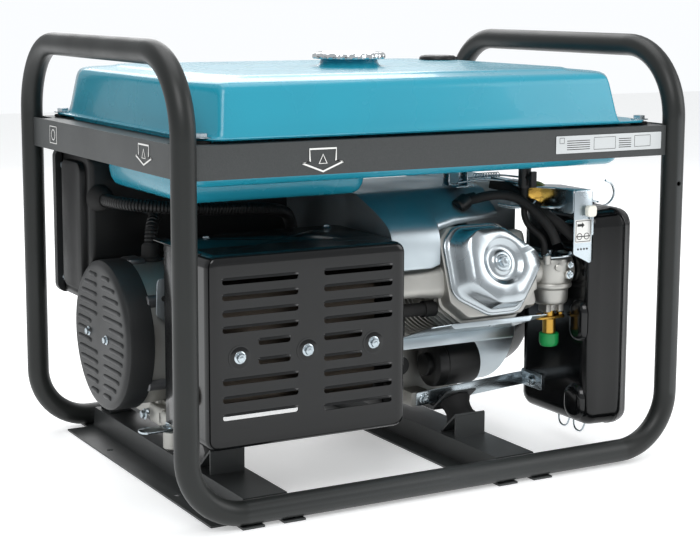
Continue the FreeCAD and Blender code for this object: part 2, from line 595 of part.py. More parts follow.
def build_fan_end():
    wheel = [rod("wheel_disc", "wheel_r", "wheel_face - wheel_left", ("wheel_left", "shaft_y", "shaft_z"),
                 "X")]
    for count in range(12):
        blade = box(f"fan_blade_{count}", ("wheel_face", "-fan_wall / 2", "blade_root"),
                    ("blade_top", "fan_wall / 2", "wheel_r"))
        wheel.append(spun(group(f"fan_blade_set_{count}", [blade]), 30 * count))
    wheel.append(tube_ring("fan_hub", "cup_r - 6", "nose_r", "blade_top - wheel_face",
                           ("wheel_face", "shaft_y", "shaft_z"), "X"))
    wheel.append(tube_ring("starter_cup", "cup_r", "cup_r - 3", "cup_right - blade_top",
                           ("blade_top", "shaft_y", "shaft_z"), "X"))
    wheel.append(tube_ring("cup_floor", "cup_r", "nose_r", "3", ("blade_top", "shaft_y", "shaft_z"), "X"))
    bore = rod("wheel_bore", "nose_r", "wheel_face - wheel_left + 2",
               ("wheel_left - 1", "shaft_y", "shaft_z"), "X")
    node(cut("flywheel_cast", fuse("flywheel_solid", wheel), bore), "flywheel_fan")

    def housing(name, skin, left, right):
        shell = rod(name + "_round", f"fan_shell_r - {skin}", f"{right} - ({left})",
                    (left, "shaft_y", "shaft_z"), "X")
        duct = box(name + "_duct", (left, f"duct_near + {skin}", "shaft_z"),
                   (right, f"shroud_back - {skin}", f"shroud_top - {skin}"))
        return fuse(name, [shell, duct])

    outside = housing("fan_outside", "0", "case_right", "fan_right")
    inside = housing("fan_inside", "fan_wall", "case_right + fan_wall", "fan_right - fan_wall")
    tools = [
        inside,
        rod("fan_inlet", "fan_inlet_r", "3 * fan_wall", ("fan_right - 2 * fan_wall", "shaft_y", "shaft_z"),
            "X"),
        rod("fan_back_hole", "cup_r", "3 * fan_wall", ("case_right - fan_wall", "shaft_y", "shaft_z"), "X"),
        box("duct_mouth", ("case_right - 1", "duct_near + fan_wall", "shaft_z + case_height + 12"),
            ("case_right + 2 * fan_wall", "shroud_back - fan_wall", "shroud_top - fan_wall")),
    ]
    node(cut("fan_cowl", outside, *tools), "fan_housing")

    case = rod("recoil_outside", "recoil_r", "recoil_right - fan_right",
               ("fan_right", "shaft_y", "shaft_z"), "X")
    cup = rod("recoil_inside", "recoil_r - 2", "recoil_right - fan_right - 1",
              ("fan_right - 1", "shaft_y", "shaft_z"), "X")
    slots = [rod("rope_hole", "rope_r * 2", "recoil_r", ("(reel_left + reel_right) / 2", "shaft_y + reel_r",
                                                         "shaft_z + reel_r + rope_r + 0.5"), "Y")]
    for count in range(10):
        slot = box(f"vent_{count}", ("recoil_right - 4", "-vent_half", "reel_r"),
                   ("recoil_right + 1", "vent_half", "recoil_r - 14"))
        slots.append(spun(group(f"vent_set_{count}", [slot]), 36 * count + 18))
    spindle = rod("reel_spindle", "reel_pin_r", "recoil_right - 1 - (fan_right + 4)",
                  ("fan_right + 4", "shaft_y", "shaft_z"), "X")
    node(fuse("recoil_cover", [cut("recoil_cup", case, cup, *slots), spindle]), "recoil_housing")

    wide = "reel_right - reel_left"
    profile = [
        ("reel_pin_r + play", "0"), ("reel_r", "0"), ("reel_r", "4"), ("reel_r - groove", "7"),
        ("reel_r - groove", f"{wide} - 7"), ("reel_r", f"{wide} - 4"), ("reel_r", wide),
        ("reel_pin_r + play", wide),
    ]
    node(lathe("rope_reel", profile, ("reel_left", "shaft_y", "shaft_z"), "X"), "recoil_pulley")

    rope_x, rope_z = "(reel_left + reel_right) / 2", "shaft_z + reel_r + rope_r + 0.5"
    grip = [
        rod("grip_bar", "grip_r", "grip_length", (rope_x, "grip_y", f"{rope_z} - grip_length / 2")),
        rod("rope_run", "rope_r", "grip_y - rope_start", (rope_x, "rope_start", rope_z), "Y"),
    ]
    node(fuse("pull_grip", grip), "recoil_handle")


def build_starter_and_dipstick():
    motor = [
        rod("starter_can", "starter_r", "starter_right - starter_left",
            ("starter_left", "starter_y", "starter_z"), "X"),
        rod("starter_boss", "starter_r / 2", "8", ("starter_left - 8", "starter_y", "starter_z"), "X"),
        box("starter_saddle", ("starter_left + 10", "starter_y", "starter_z - 14"),
            ("starter_right - 10", "shaft_y - case_half", "starter_z + 14")),
    ]
    node(fuse("starter_assembly", motor), "starter_motor")
    stick = [
        rod("dipstick_knob", "dipstick_cap", "shaft_y - case_half - (dipstick_near)",
            ("dipstick_x", "dipstick_near", "dipstick_z"), "Y"),
        rod("dipstick_blade", "small_bolt_r", "dipstick_end - (shaft_y - case_half)",
            ("dipstick_x", "shaft_y - case_half", "dipstick_z"), "Y"),
    ]
    node(fuse("dipstick", stick), "oil_dipstick")


def build_shrouds():
    """Folded sheets that lead the fan's air over and under the cylinder."""
    wall = "shroud_wall"
    roof = [
        ("shroud_lip", "shroud_top - 26"), ("shroud_ridge", "shroud_top"), ("shroud_back", "shroud_top"),
        ("shroud_back", f"shroud_top - {wall}"), (f"shroud_ridge + {wall} / 4", f"shroud_top - {wall}"),
        (f"shroud_lip + {wall} / 2", f"shroud_top - 26 - {wall}"),
    ]
    near = [
        ("shroud_near", "shroud_foot"), ("shroud_near", "shroud_knee"), ("shroud_ridge", "shroud_top"),
        ("shroud_back", "shroud_top"), ("shroud_back", f"shroud_top - {wall}"),
        (f"shroud_ridge + {wall} / 4", f"shroud_top - {wall}"),
        (f"shroud_near + {wall}", f"shroud_knee - {wall} / 2"), (f"shroud_near + {wall}", "shroud_foot"),
    ]
    end = [
        ("shroud_near", "shroud_foot"), ("shroud_near", "shroud_knee"), ("shroud_ridge", "shroud_top"),
        ("shroud_back", "shroud_top"), ("shroud_back", "shroud_foot"),
    ]
    pieces = [
        prism("shroud_roof", "YZ_Plane", roof, "case_right - shroud_split", ("shroud_split", 0, 0)),
        prism("shroud_hood", "YZ_Plane", near, "shroud_split - (shroud_left)", ("shroud_left", 0, 0)),
        prism("shroud_end", "YZ_Plane", end, wall, ("shroud_left", 0, 0)),
        box("shroud_rear", ("shroud_left", f"shroud_back - {wall}", "shroud_foot"),
            ("case_right", "shroud_back", "shroud_top")),
    ]
    node(fuse("upper_sheet", pieces), "upper_shroud")

    low = "-tray_drop"
    tray = [
        box("tray_floor", ("tray_left", low, "tray_start"), ("tray_right", f"{low} + {wall}", "tray_end")),
        box("tray_fold", ("tray_left", f"{low} - tray_lip", "tray_start"),
            ("tray_right", f"{low} + {wall}", f"tray_start + {wall}")),
    ]
    for count, across in enumerate(("head_left + 20", "head_right - 20")):
        tray.append(block(f"tray_spacer_{count}", (f"{across} - 6", low, "deck + 40"),
                          (f"{across} + 6", "-head_half", "deck + 52"), None, "Z"))
    node(tilted(fuse("lower_sheet", tray)), "lower_shroud")


def build_exhaust():
    low = ("muffler_left", "muffler_near", "muffler_low")
    high = ("muffler_right", "muffler_back", "muffler_high")
    skin = "muffler_wall"
    shell = block("muffler_outside", low, high, "muffler_corner", "X")
    space = block("muffler_inside", [f"{edge} + {skin}" for edge in low],
                  [f"{edge} - {skin}" for edge in high],
                  f"muffler_corner - {skin}", "X")
    pipe = rod("exhaust_pipe", "pipe_r", "head_left - (muffler_right)",
               ("muffler_right", "port_y", "port_z"), "X")
    pipe_bore = rod("pipe_bore", "throat_r", "head_left - (muffler_right) + 6",
                    ("muffler_right - 5", "port_y", "port_z"), "X")
    tail = rod("tail_pipe", "throat_r", "muffler_left - (outlet_left)",
               ("outlet_left", "outlet_y", "outlet_z"), "X")
    tail_bore = rod("tail_bore", "throat_r - 2", "muffler_left - (outlet_left) + 6",
                    ("outlet_left - 1", "outlet_y", "outlet_z"), "X")
    node(cut("muffler_box", fuse("muffler_solid", [shell, pipe, tail]), space, pipe_bore, tail_bore),
         "muffler")

    wall = "shield_wall"
    sheets = [
        box("shield_face", ("shield_left", "shield_near", "shield_low"),
            ("shield_right", f"shield_near + {wall}", "shield_high")),
        box("shield_roof", ("shield_left", "shield_near", f"shield_high - {wall}"),
            ("shield_right", "shield_back", "shield_high")),
        box("shield_left_end", ("shield_left", "shield_near", "shield_low"),
            (f"shield_left + {wall}", "shield_return", "shield_high")),
        box("shield_right_end", (f"shield_right - {wall}", "shield_near", "shield_low"),
            ("shield_right", "shield_return", "shield_high")),
    ]
    tools = [
        rod("shield_pipe_hole", "pipe_r + 3", "10", ("shield_right - 5", "port_y", "port_z"), "X"),
        rod("shield_tail_hole", "throat_r + 3", "10", ("shield_left - 5", "outlet_y", "outlet_z"), "X"),
    ]
    for column, (left, right) in enumerate((("-274", "-180"), ("-147", "-57"))):
        for count in (0, 1, 2, 3, 6, 7, 8, 9):
            level = f"slot_first - {count} * slot_pitch"
            tools.append(box(f"louvre_{column}_{count}", (left, "shield_near - 1", level),
                             (right, f"shield_near + 2 * {wall}", f"{level} + slot_tall")))
    for count, across in enumerate(SHIELD_BOLTS):
        tools.append(rod(f"shield_bolt_hole_{count}", "small_bolt_r + play", "4 * shield_wall",
                         (across, "shield_near - 1", "shield_bolt_z"), "Y"))
    node(cut("shield_pressing", fuse("shield_sheets", sheets), *tools), "heat_shield")


# ---------------------------------------------------------------- intake

def build_carburettor():
    body = [
        box("carb_body", ("carb_left + 4", "intake_y - carb_half", "carb_low"),
            ("carb_right - 4", "intake_y + carb_half", "carb_high")),
        rod("carb_flange_left", "boss_r", "carb_left + 4 - head_right",
            ("head_right", "intake_y", "intake_z"), "X"),
        rod("carb_flange_right", "boss_r", "4", ("carb_right - 4", "intake_y", "intake_z"), "X"),
        rod("carb_bowl", "bowl_r", "bowl_top - bowl_low", ("bowl_x", "bowl_y", "bowl_low")),
    ]
    throat = rod("carb_throat", "throat_r", "carb_right - head_right + 2",
                 ("head_right - 1", "intake_y", "intake_z"), "X")
    node(cut("carb_cast", fuse("carb_solid", body), throat), "carburettor")

    valve = [
        rod("valve_neck", "plug_r", "bowl_low - plate_z", ("bowl_x", "bowl_y", "plate_z")),
        box("valve_plate", ("bowl_x - 17", "bowl_y - 17", "plate_z"),
            ("bowl_x + 17", "bowl_y + 17", "plate_z + 3")),
        rod("valve_coil", "solenoid_r", "plate_z - solenoid_low", ("bowl_x", "bowl_y", "solenoid_low")),
        rod("valve_cap", "drain_r", "solenoid_low - drain_low", ("bowl_x", "bowl_y", "drain_low")),
    ]
    node(fuse("fuel_valve", valve), "fuel_cut_solenoid")

    lever = [
        rod("throttle_spindle", "bolt_r", "6", ("bowl_x", "intake_y", "carb_high")),
        box("throttle_arm", ("bowl_x - 3", "intake_y", "carb_high + 3"),
            ("bowl_x + 3", "lever_y", "carb_high + 6")),
    ]
    node(fuse("throttle_crank", lever), "throttle_lever")


def build_controls():
    near = "plate_y - shroud_wall"
    bracket = [
        box("control_plate", ("plate_left", near, "plate_low"), ("plate_right", "plate_y", "plate_high")),
        box("control_web", ("web_x", "plate_y", "plate_high - 26"),
            ("web_x + shroud_wall", "duct_near", "plate_high")),
        rod("actuator_can", "can_r", "can_back - (can_near)", ("can_x", "can_near", "can_z"), "Y"),
    ]
    node(fuse("control_frame", bracket), "control_bracket")
    knob = [
        rod("choke_knob", "knob_r", "8", ("knob_x", f"{near} - 11", "knob_z"), "Y"),
        box("choke_arm", ("knob_x - 3", f"{near} - 3", "choke_pivot_z - 4"),
            ("knob_x + 3", f"{near} - 0.5", "knob_z")),
    ]
    node(fuse("choke_handle", knob), "choke_lever")


def build_air_cleaner():
    wall = "filter_wall"
    low = ("filter_near", "filter_low")
    high = ("filter_back", "filter_high")
    deep_low, deep_high = [f"{edge} + {wall}" for edge in low], [f"{edge} - {wall}" for edge in high]

    def tray(name, left, right, open_left, open_right):
        outer = block(name + "_outside", (left, *low), (right, *high), "filter_corner", "X")
        inner = block(name + "_inside", (open_left, *deep_low), (open_right, *deep_high),
                      f"filter_corner - {wall}", "X")
        return outer, inner

    outer, inner = tray("base", "filter_left", "filter_seam", f"filter_left + {wall}", "filter_seam + 1")
    hole = rod("base_throat", "throat_r", "4 * filter_wall", ("filter_left - 5", "intake_y", "intake_z"),
               "X")
    node(cut("filter_base", outer, inner, hole), "air_filter_base")
    outer, inner = tray("lid_shell", "filter_seam", "filter_right", "filter_seam - 1",
                        f"filter_right - {wall}")
    node(cut("filter_lid", outer, inner), "air_filter_cover")
    gap = "element_gap"
    pad_low = (f"filter_left + {gap}", f"filter_near + {gap}", f"filter_low + {gap}")
    pad_high = (f"filter_right - {gap}", f"filter_back - {gap}", f"filter_high - {gap}")
    node(block("foam_pad", pad_low, pad_high, f"filter_corner - {gap}", "X"), "air_filter_element")

    for name, base, lift in (("upper", "filter_high", 1), ("lower", "filter_low", -1)):
        first, last = f"{base} + {lift} * 0.6", f"{base} + {lift} * 2.6"
        floor, roof = (first, last) if lift > 0 else (last, first)
        strip = box(name + "_clip_strip", ("clip_tip", "clip_near", floor),
                    ("clip_pivot", "clip_far", roof))
        wire = rod(name + "_clip_pivot", "1.2", "clip_far - (clip_near) + 6",
                   ("clip_pivot", "clip_near - 3", f"{base} + {lift} * 1.8"), "Y")
        node(fuse(name + "_clip", [strip, wire]), "filter_clip_" + name)

    outline = [
        ("strap_left", "strap_low"), ("filter_left", "strap_low + strap_rise"),
        ("filter_left", "strap_low + strap_rise + strap_tall"), ("strap_left", "strap_low + strap_tall"),
    ]
    strap = prism("strap_bar", "XZ_Plane", outline, "sheet", (0, "strap_near", 0))
    tab = box("strap_tab", ("filter_left - sheet", "strap_near - 43", "strap_low + strap_rise"),
              ("filter_left", "strap_near + sheet", "strap_low + strap_rise + 22"))
    node(fuse("strap_and_tab", [strap, tab]), "filter_strap")


# ---------------------------------------------------------------- alternator

def build_alternator():
    def ring(name, outer, inner, left, right):
        return tube_ring(name, outer, inner, f"({right}) - ({left})", (left, "shaft_y", "shaft_z"), "X")

    bell = fuse("bell_cast", [ring("bell_skirt", "bell_r", "bell_bore", "bell_left", "case_left"),
                              ring("bell_wall", "bell_r", "hub_r + 4", "case_left - case_wall",
                                   "case_left")])
    vents = []
    for count in range(8):
        slot = box(f"bell_vent_{count}", ("bell_left + 14", "-11", "bell_bore - 6"),
                   ("bell_left + 54", "11", "bell_r + 6"))
        vents.append(spun(group(f"bell_vent_set_{count}", [slot]), 45 * count + 22.5))
    node(cut("bell_housing", bell, *vents), "alternator_bell")

    node(fuse("stator_pack", [
        ring("stator_core", "stator_r", "stator_bore", "stator_left", "bell_left"),
        ring("stator_coils", "bell_bore - 2", "stator_bore + 4", "stator_left - 12", "stator_left"),
    ]), "stator")

    def rotor_rod(name, radius, left, right):
        return rod(name, radius, f"({right}) - ({left})", (left, "shaft_y", "shaft_z"), "X")

    rotor = [
        rotor_rod("rotor_core", "rotor_r", "rotor_left", "rotor_right"),
        rotor_rod("rotor_shaft", "rotor_shaft_r", "rotor_shaft_left", "rotor_right"),
        rotor_rod("rotor_rings", "ring_r", "ring_left", "ring_right"),
        rotor_rod("rotor_hub", "hub_r", "rotor_right", "taper_right"),
        rotor_rod("rotor_fan_disc", "rotor_fan_r", "bell_left", "bell_left + 4"),
    ]
    for count in range(12):
        blade = box(f"rotor_blade_{count}", ("bell_left + 4", "-1.5", "hub_r + 24"),
                    ("rotor_fan_right", "1.5", "rotor_fan_r"))
        rotor.append(spun(group(f"rotor_blade_set_{count}", [blade]), 30 * count))
    socket = cone("rotor_socket", "taper_small", "taper_large", "taper_right - (taper_left)",
                  ("taper_left", "shaft_y", "shaft_z"), "X")
    node(cut("rotor_turned", fuse("rotor_solid", rotor), socket), "rotor")

    foot = box("bracket_foot", ("foot_left", "shaft_y - foot_half", "cradle_top"),
               ("stator_left", "shaft_y + foot_half", "shaft_z - end_bore"))
    bracket = fuse("end_bracket_solid", [
        rotor_rod("end_bracket_body", "end_r", "end_left", "stator_left"), foot])
    space = rotor_rod("end_bracket_space", "end_bore", "end_left + 8", "stator_left + 1")
    bearing = rotor_rod("bearing_bore", "rotor_shaft_r + 1", "end_left - 1", "end_left + 9")
    holes = [rod(f"bracket_foot_hole_{end + 1}", "bolt_r + play", "10",
                 ("left_member_x", f"shaft_y + {end} * foot_half * 0.7", "cradle_top - 1")) for end in (-1,
                                                                                                        1)]
    node(cut("end_bracket_cast", bracket, space, bearing, *holes), "end_bracket")

    cap = rotor_rod("cap_outside", "end_cap_r", "end_cap_left", "end_left + 6")
    cap_space = rotor_rod("cap_inside", "end_cap_r - plastic", "end_cap_left + plastic", "end_left")
    rim = rotor_rod("cap_rim", "end_r", "end_left - 1", "end_left + 7")
    node(cut("cap_moulding", cap, cap_space, rim), "end_cover")


def build_wiring():
    """Corrugated conduits with their glands, from the generator up to the control box."""
    gland_z = "gland_top - 8"
    pieces = [
        rod("gland_post", "gland_r", f"{gland_z} - (shaft_z + end_r)",
            ("gland_x", "shaft_y", "shaft_z + end_r")),
        routed_hose("short_conduit", [("gland_x", "shaft_y", gland_z),
                                      ("gland_x", "shaft_y", "gland_top + 28"),
                                      ("gland_x + 24", "shaft_y + 30", "gland_top + 40"),
                                      ("gland_x + 24", "box_near", "gland_top + 40")], "conduit_r"),
        cone("grommet", "conduit_r", "conduit_r * 1.7", "20", ("grommet_x", "box_near - 20", "grommet_z"),
             "Y"),
        routed_hose("long_conduit", [("grommet_x", "box_near - 20", "grommet_z"),
                                     ("grommet_x", "shaft_y - 5", "grommet_z"),
                                     ("grommet_x + 90", "shaft_y - 45", "grommet_z - 6"),
                                     ("bell_left - 30", "shaft_y - 30", "grommet_z - 12"),
                                     ("bell_left + 8", "shaft_y", "grommet_z - 30"),
                                     ("bell_left + 8", "shaft_y", "shaft_z + bell_r")], "conduit_r"),
    ]
    node(group("conduit_set", pieces), "conduits")


# ---------------------------------------------------------------- tank

def tank_outline(inset, lean_x, lean_y):
    left, right = f"(tank_left + {inset} + {lean_x})", f"(tank_right - {inset} - {lean_x})"
    side = f"(tank_side - 2 - {inset} - {lean_y})"
    return [
        (left, f"-{side} + corner_y"), (f"{left} + left_cut", f"-{side}"),
            (f"{right} - right_cut", f"-{side}"),
        (right, f"-{side} + corner_y"), (right, f"{side} - corner_y"), (f"{right} - right_cut", side),
        (f"{left} + left_cut", side), (left, f"{side} - corner_y"),
    ]


def tank_flange(name, level, hole_tools):
    x, y, snip = "flange_x", "tank_side", "flange_cut"
    outline = [
        (f"-{x}", f"-{y} + {snip}"), (f"-{x} + {snip}", f"-{y}"), (f"{x} - {snip}", f"-{y}"),
        (x, f"-{y} + {snip}"), (x, f"{y} - {snip}"), (f"{x} - {snip}", y), (f"-{x} + {snip}", y),
        (f"-{x}", f"{y} - {snip}"),
    ]
    plate = prism(name + "_plate", "XY_Plane", outline, "flange_thick", (0, 0, level))
    holes = [rod(f"{name}_hole_{end + 1}_{far + 1}", "bolt_r + play", "4 * flange_thick",
                 (f"{end} * bushing_x", f"{far} * bushing_y", f"{level} - flange_thick"))
             for end in (-1, 1) for far in (-1, 1)]
    return cut(name + "_flange", plate, *holes, *hole_tools)


def build_tank():
    base = "flange_low + flange_thick"
    skin = "flange_thick"
    outer = loft("tank_outside", tank_outline("0", "0", "0"), base,
                 tank_outline("0", "end_lean", "side_lean"), "tank_top")
    inner = loft("tank_inside", tank_outline(skin, "0", "0"), f"{base} - 1",
                 tank_outline(skin, "end_lean", "side_lean"), f"tank_top - {skin}")
    flange = tank_flange("upper", base, [])
    neck = rod("filler_neck", "neck_r", "cap_low - tank_top + 6", ("0", "cap_y", "tank_top - 6"))
    tools = [inner, rod("neck_bore", f"neck_r - {skin}", "60", ("0", "cap_y", "tank_top - 20")),
             rod("gauge_hole", "gauge_stem + play", "20", ("gauge_x", "gauge_y", "tank_top - 10"))]
    node(cut("tank_upper_pressing", fuse("tank_upper_solid", [flange, outer, neck]), *tools),
         "tank_upper_shell")

    def tubs(name, inset, roof):
        low = [
            (("-tub_x", "-tub_y", "tub_far_low"), ("tub_x", "tub_y")),
            (("-tub_x", "-tub_y", "tub_low"), ("tub_x", "tub_far")),
            (("sump_left", "sump_near", "sump_low"), ("sump_right", "sump_far")),
        ]
        pieces = []
        for count, (first, last) in enumerate(low):
            start = [f"{edge} + {inset}" for edge in first]
            pieces.append(box(f"{name}_{count}", start, [f"{edge} - {inset}" for edge in last] + [roof]))
        return fuse(name, pieces)

    shell = cut("tub_shell", fuse("tub_solid", [tubs("tub_outside", "0", "flange_low + 0.1"),
                                               tank_flange("lower", "flange_low", [])]),
                tubs("tub_inside", skin, f"{base} + 1"),
                rod("tap_hole", "small_bolt_r", "20", ("tap_x", "tap_y", "tub_low - 10")))
    node(shell, "tank_lower_shell")

    corners = [(end, far) for end in (-1, 1) for far in (-1, 1)]
    node(group("bushing_set", [
        tube_ring(f"bushing_{end + 1}_{far + 1}", "bushing_r", "bolt_r + play", "flange_low - rail_top",
                  (f"{end} * bushing_x", f"{far} * bushing_y", "rail_top")) for end, far in corners]),
        "tank_bushings")

    node(rod("seal_plug", "seal_r", "cap_low - (tank_top - 2)", ("0", "cap_y", "tank_top - 2")),
         "fuel_cap_seal")
    node(rod("cap_disc", "cap_r", "cap_high - cap_low", ("0", "cap_y", "cap_low")), "fuel_cap")

    dial = [
        rod("gauge_head", "gauge_r", "gauge_top - tank_top", ("gauge_x", "gauge_y", "tank_top")),
        rod("gauge_body", "gauge_stem", "26", ("gauge_x", "gauge_y", "tank_top - 26")),
    ]
    window = rod("gauge_window", "gauge_stem", "4", ("gauge_x", "gauge_y", "gauge_top - 3"))
    node(cut("gauge_case", fuse("gauge_solid", dial), window), "fuel_gauge")
    node(box("float_pointer", ("gauge_x - needle_half", "gauge_y - 1", "gauge_top - 2.4"),
             ("gauge_x + needle_half", "gauge_y + 1", "gauge_top - 1.2")), "gauge_needle")

    tap = [
        rod("tap_body", "tap_r", "tub_low - tap_low", ("tap_x", "tap_y", "tap_low")),
        rod("tap_nose", "tap_r / 2", "12", ("tap_x", "tap_y - 14", "tap_low + 14"), "Y"),
    ]
    node(fuse("tap_cast", tap), "fuel_tap")
    node(box("tap_handle", ("tap_x - 4", "tap_y - 20", "tap_low + 2"),
             ("tap_x + 4", "tap_y - 14.5", "tap_low + 22")),
         "fuel_tap_lever")
    node(routed_hose("fuel_line", [("tap_x", "tap_y", "tap_low"), ("tap_x", "tap_y", "tap_low - 44"),
                                   ("tap_x + 18", "tap_y - 20", "tap_low - 64"),
                                   ("tap_x + 18", "tap_y - 20", "carb_high")], "hose_r"), "fuel_hose")


# ---------------------------------------------------------------- control panel

def build_control_box():
    skin = "plastic"

    def outline(inset):
        return [
            (f"box_near + {inset}", f"box_high - {inset}"), (f"box_near + {inset}", "box_slope_z"),
            (f"box_slope_y + {inset}", f"box_low + {inset}"), ("box_front", f"box_low + {inset}"),
            ("box_front", f"box_high - {inset}"),
        ]

    outer = prism("box_outside", "YZ_Plane", outline("0"), "box_right - (box_left)", ("box_left", 0, 0))
    inner = prism("box_inside", "YZ_Plane", outline(skin), f"box_right - (box_left) - 2 * {skin}",
                  (f"box_left + {skin}", 0, 0))
    node(cut("box_moulding", outer, inner), "control_box")

    plate = block("panel_plate", ("box_left", "box_front", "box_low"),
                  ("box_right", "panel_front", "box_high"),
                  "12", "Y")
    ring = rod("key_ring", "12", "6", ("key_x", "panel_front", "socket_z"), "Y")
    frame = box("breaker_frame", ("breaker_x - 14", "panel_front", "socket_z - 20"),
                ("breaker_x + 14", "panel_front + 4", "socket_z + 20"))
    meter = rod("meter_case", "26", "5", ("(socket_one + socket_two) / 2", "panel_front", "socket_z + 62"),
                "Y")
    tools = [
        rod("key_hole", "4.6", "30", ("key_x", "box_front - 4", "socket_z"), "Y"),
        box("breaker_slot", ("breaker_x - 6", "panel_front - 2", "socket_z - 15"),
            ("breaker_x + 6", "panel_front + 5", "socket_z + 15")),
    ]
    sockets = (("left", "socket_one", "socket_small"), ("right", "socket_two", "socket_small"),
               ("large", "socket_three", "socket_large"))
    bodies = []
    for name, across, radius in sockets:
        tools.append(rod(f"{name}_socket_hole", f"{radius} + play", "20",
                         (across, "box_front - 4", "socket_z"), "Y"))
        pieces = [rod(f"{name}_socket_body", radius, "socket_face - box_front + 14",
                      (across, "box_front - 14", "socket_z"), "Y")]
        for side in (-1, 1):
            inner, outer = f"{across} + {side} * 12.3", f"{across} + {side} * 15"
            left, right = (outer, inner) if side < 0 else (inner, outer)
            pieces.append(box(f"{name}_ear_{side + 1}",
                              (left, "socket_face - 10", f"socket_z + {radius} - 6"),
                              (right, "socket_face", f"socket_z + {radius} + 5")))
            pieces.append(box(f"{name}_ear_tip_{side + 1}",
                              (left, "socket_face", f"socket_z + {radius} + 0.8"),
                              (right, "socket_face + 4.5", f"socket_z + {radius} + 5")))
        recess = rod(f"{name}_socket_recess", f"{radius} - 4", "11",
                     (across, "socket_face - 10", "socket_z"), "Y")
        bodies.append(cut(f"{name}_socket", fuse(f"{name}_socket_solid", pieces), recess))
    node(cut("panel_moulding", fuse("panel_solid", [plate, ring, frame, meter]), *tools), "control_panel")
    node(group("socket_set", bodies), "socket_bodies")
    for name, across, radius in sockets:
        disc = rod(f"{name}_lid_disc", f"{radius} + 2", "lid", (across, "socket_face + 0.3", "socket_z"),
                   "Y")
        bead = rod(f"{name}_lid_hinge", "2.4", "24",
                   (f"{across} - 12", "socket_face + 2.7", f"socket_z + {radius} + 3"), "X")
        node(fuse(f"{name}_lid", [disc, bead]), f"socket_lid_{name}")
    node(box("breaker_lever", ("breaker_x - 3", "panel_front + 1", "socket_z - 5"),
             ("breaker_x + 3", "panel_front + 16", "socket_z + 5")), "breaker_toggle")
    key = [
        rod("key_stem", "4", "20", ("key_x", "box_front + 1", "socket_z"), "Y"),
        box("key_bow", ("key_x - 1.5", "box_front + 19", "socket_z - 11"),
            ("key_x + 1.5", "overall_width / 2 - 1", "socket_z + 11")),
    ]
    node(fuse("key_cut", key), "ignition_key")


def build_brackets(cradles):
    """Cradles over the rubber mounts, box hangers, shield spacers and the muffler stay."""
    pieces = list(cradles)
    for name, across in (("left", "hanger_left"), ("right", "hanger_right")):
        pieces.append(fuse(f"{name}_hanger", [
            box(f"{name}_hanger_web", (f"{across} - 10", "box_front - 20", "box_high"),
                (f"{across} + 10", "box_front - 17.5", "rail_top - sheet")),
            box(f"{name}_hanger_foot", (f"{across} - 10", "box_front - 20", "box_high"),
                (f"{across} + 10", "box_front - 2", "box_high + sheet")),
            box(f"{name}_hanger_top", (f"{across} - 10", "box_front - 20", "rail_top - 2 * sheet"),
                (f"{across} + 10", "box_front", "rail_top - sheet")),
        ]))
    for count, across in enumerate(SHIELD_BOLTS):
        pieces.append(tube_ring(f"shield_spacer_{count}", "spacer_r", "small_bolt_r + play",
                                "muffler_near - (shield_near + shield_wall)",
                                (across, "shield_near + shield_wall", "shield_bolt_z"), "Y"))
    pieces.append(box("muffler_stay", ("muffler_right - 32", "muffler_back", "shaft_z - 40"),
                      ("muffler_right - 6", "shaft_y - stator_r * 0.902", "shaft_z - 40 + sheet")))
    node(group("bracket_set", pieces), "support_brackets")


def build_bolts():
    large, small = [], []
    for member, across in (("left", "left_member_x"), ("right", "right_member_x")):
        for end in (-1, 1):
            seat = (across, f"shaft_y + {end} * foot_half * 0.7", "cradle_top - 2 * sheet")
            large.append(hex_bolt(f"{member}_foot_bolt_{end + 1}", seat, "-Z", "bolt_r", "bolt_head", "13"))
    for end in (-1, 1):
        for far in (-1, 1):
            seat = (f"{end} * bushing_x", f"{far} * bushing_y", "flange_low + 2 * flange_thick")
            large.append(hex_bolt(f"tank_bolt_{end + 1}_{far + 1}", seat, "Z", "bolt_r", "bolt_head", "17",
                                  "flange_low + 2 * flange_thick - (rail_top - sheet) + bolt_head * 0.7"))
    node(group("large_bolts", large), "hex_bolts")
    for count, across in enumerate(SHIELD_BOLTS):
        small.append(hex_bolt(f"shield_bolt_{count}", (across, "shield_near", "shield_bolt_z"), "-Y",
                              "small_bolt_r", "small_head", "muffler_near - (shield_near)"))
    centre = rod("cover_bolt_shank", "small_bolt_r", "cover_rise - 2",
                 ("(cover_left + cover_right) / 2", 0, "head_top + 2"))
    crown = doc.addObject("Part::Prism", "cover_bolt_head")
    crown.Polygon = 6
    bind(crown, Circumradius="small_head", Height="small_bolt_r")
    place(crown, ("(cover_left + cover_right) / 2", 0, "head_top + cover_rise"))
    small.append(tilted(fuse("cover_bolt", [centre, crown])))
    node(group("small_bolts", small), "flange_bolts")


def export_all():
    doc.recompute()
    broken = [obj.Name for obj in doc.Objects if {"Invalid", "Error"} & set(obj.State)]
    if broken:
        raise RuntimeError(f"did not rebuild: {broken}")
    for obj in NODES:
        shape = obj.Shape
        if shape.isNull() or not shape.isValid() or not shape.Solids:
            raise RuntimeError(f"{obj.Label} has no valid solid")
    os.makedirs("parts", exist_ok=True)
    for obj in NODES:
        obj.Shape.exportStep(f"parts/{obj.Label}.step")
    print(len(NODES), "nodes")


build_frame()
cradle_bars = build_supports()
build_crankcase()
build_cylinder_head()
build_crank_train()
build_fan_end()
build_starter_and_dipstick()
build_shrouds()
build_exhaust()
build_carburettor()
build_controls()
build_air_cleaner()
build_alternator()
build_wiring()
build_tank()
build_control_box()
build_brackets(cradle_bars)
build_bolts()
export_all()
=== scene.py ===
"""Portable open-frame generator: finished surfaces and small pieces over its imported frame.

Lengths inside the builders are in millimetres and become metres when a mesh is made.
Each sub-assembly is a class. Its build() makes its own pieces, and its dress() gives materials
to the CAD nodes that stay on show.
"""
import logging
import math
from dataclasses import dataclass, field
from enum import Enum
from functools import lru_cache

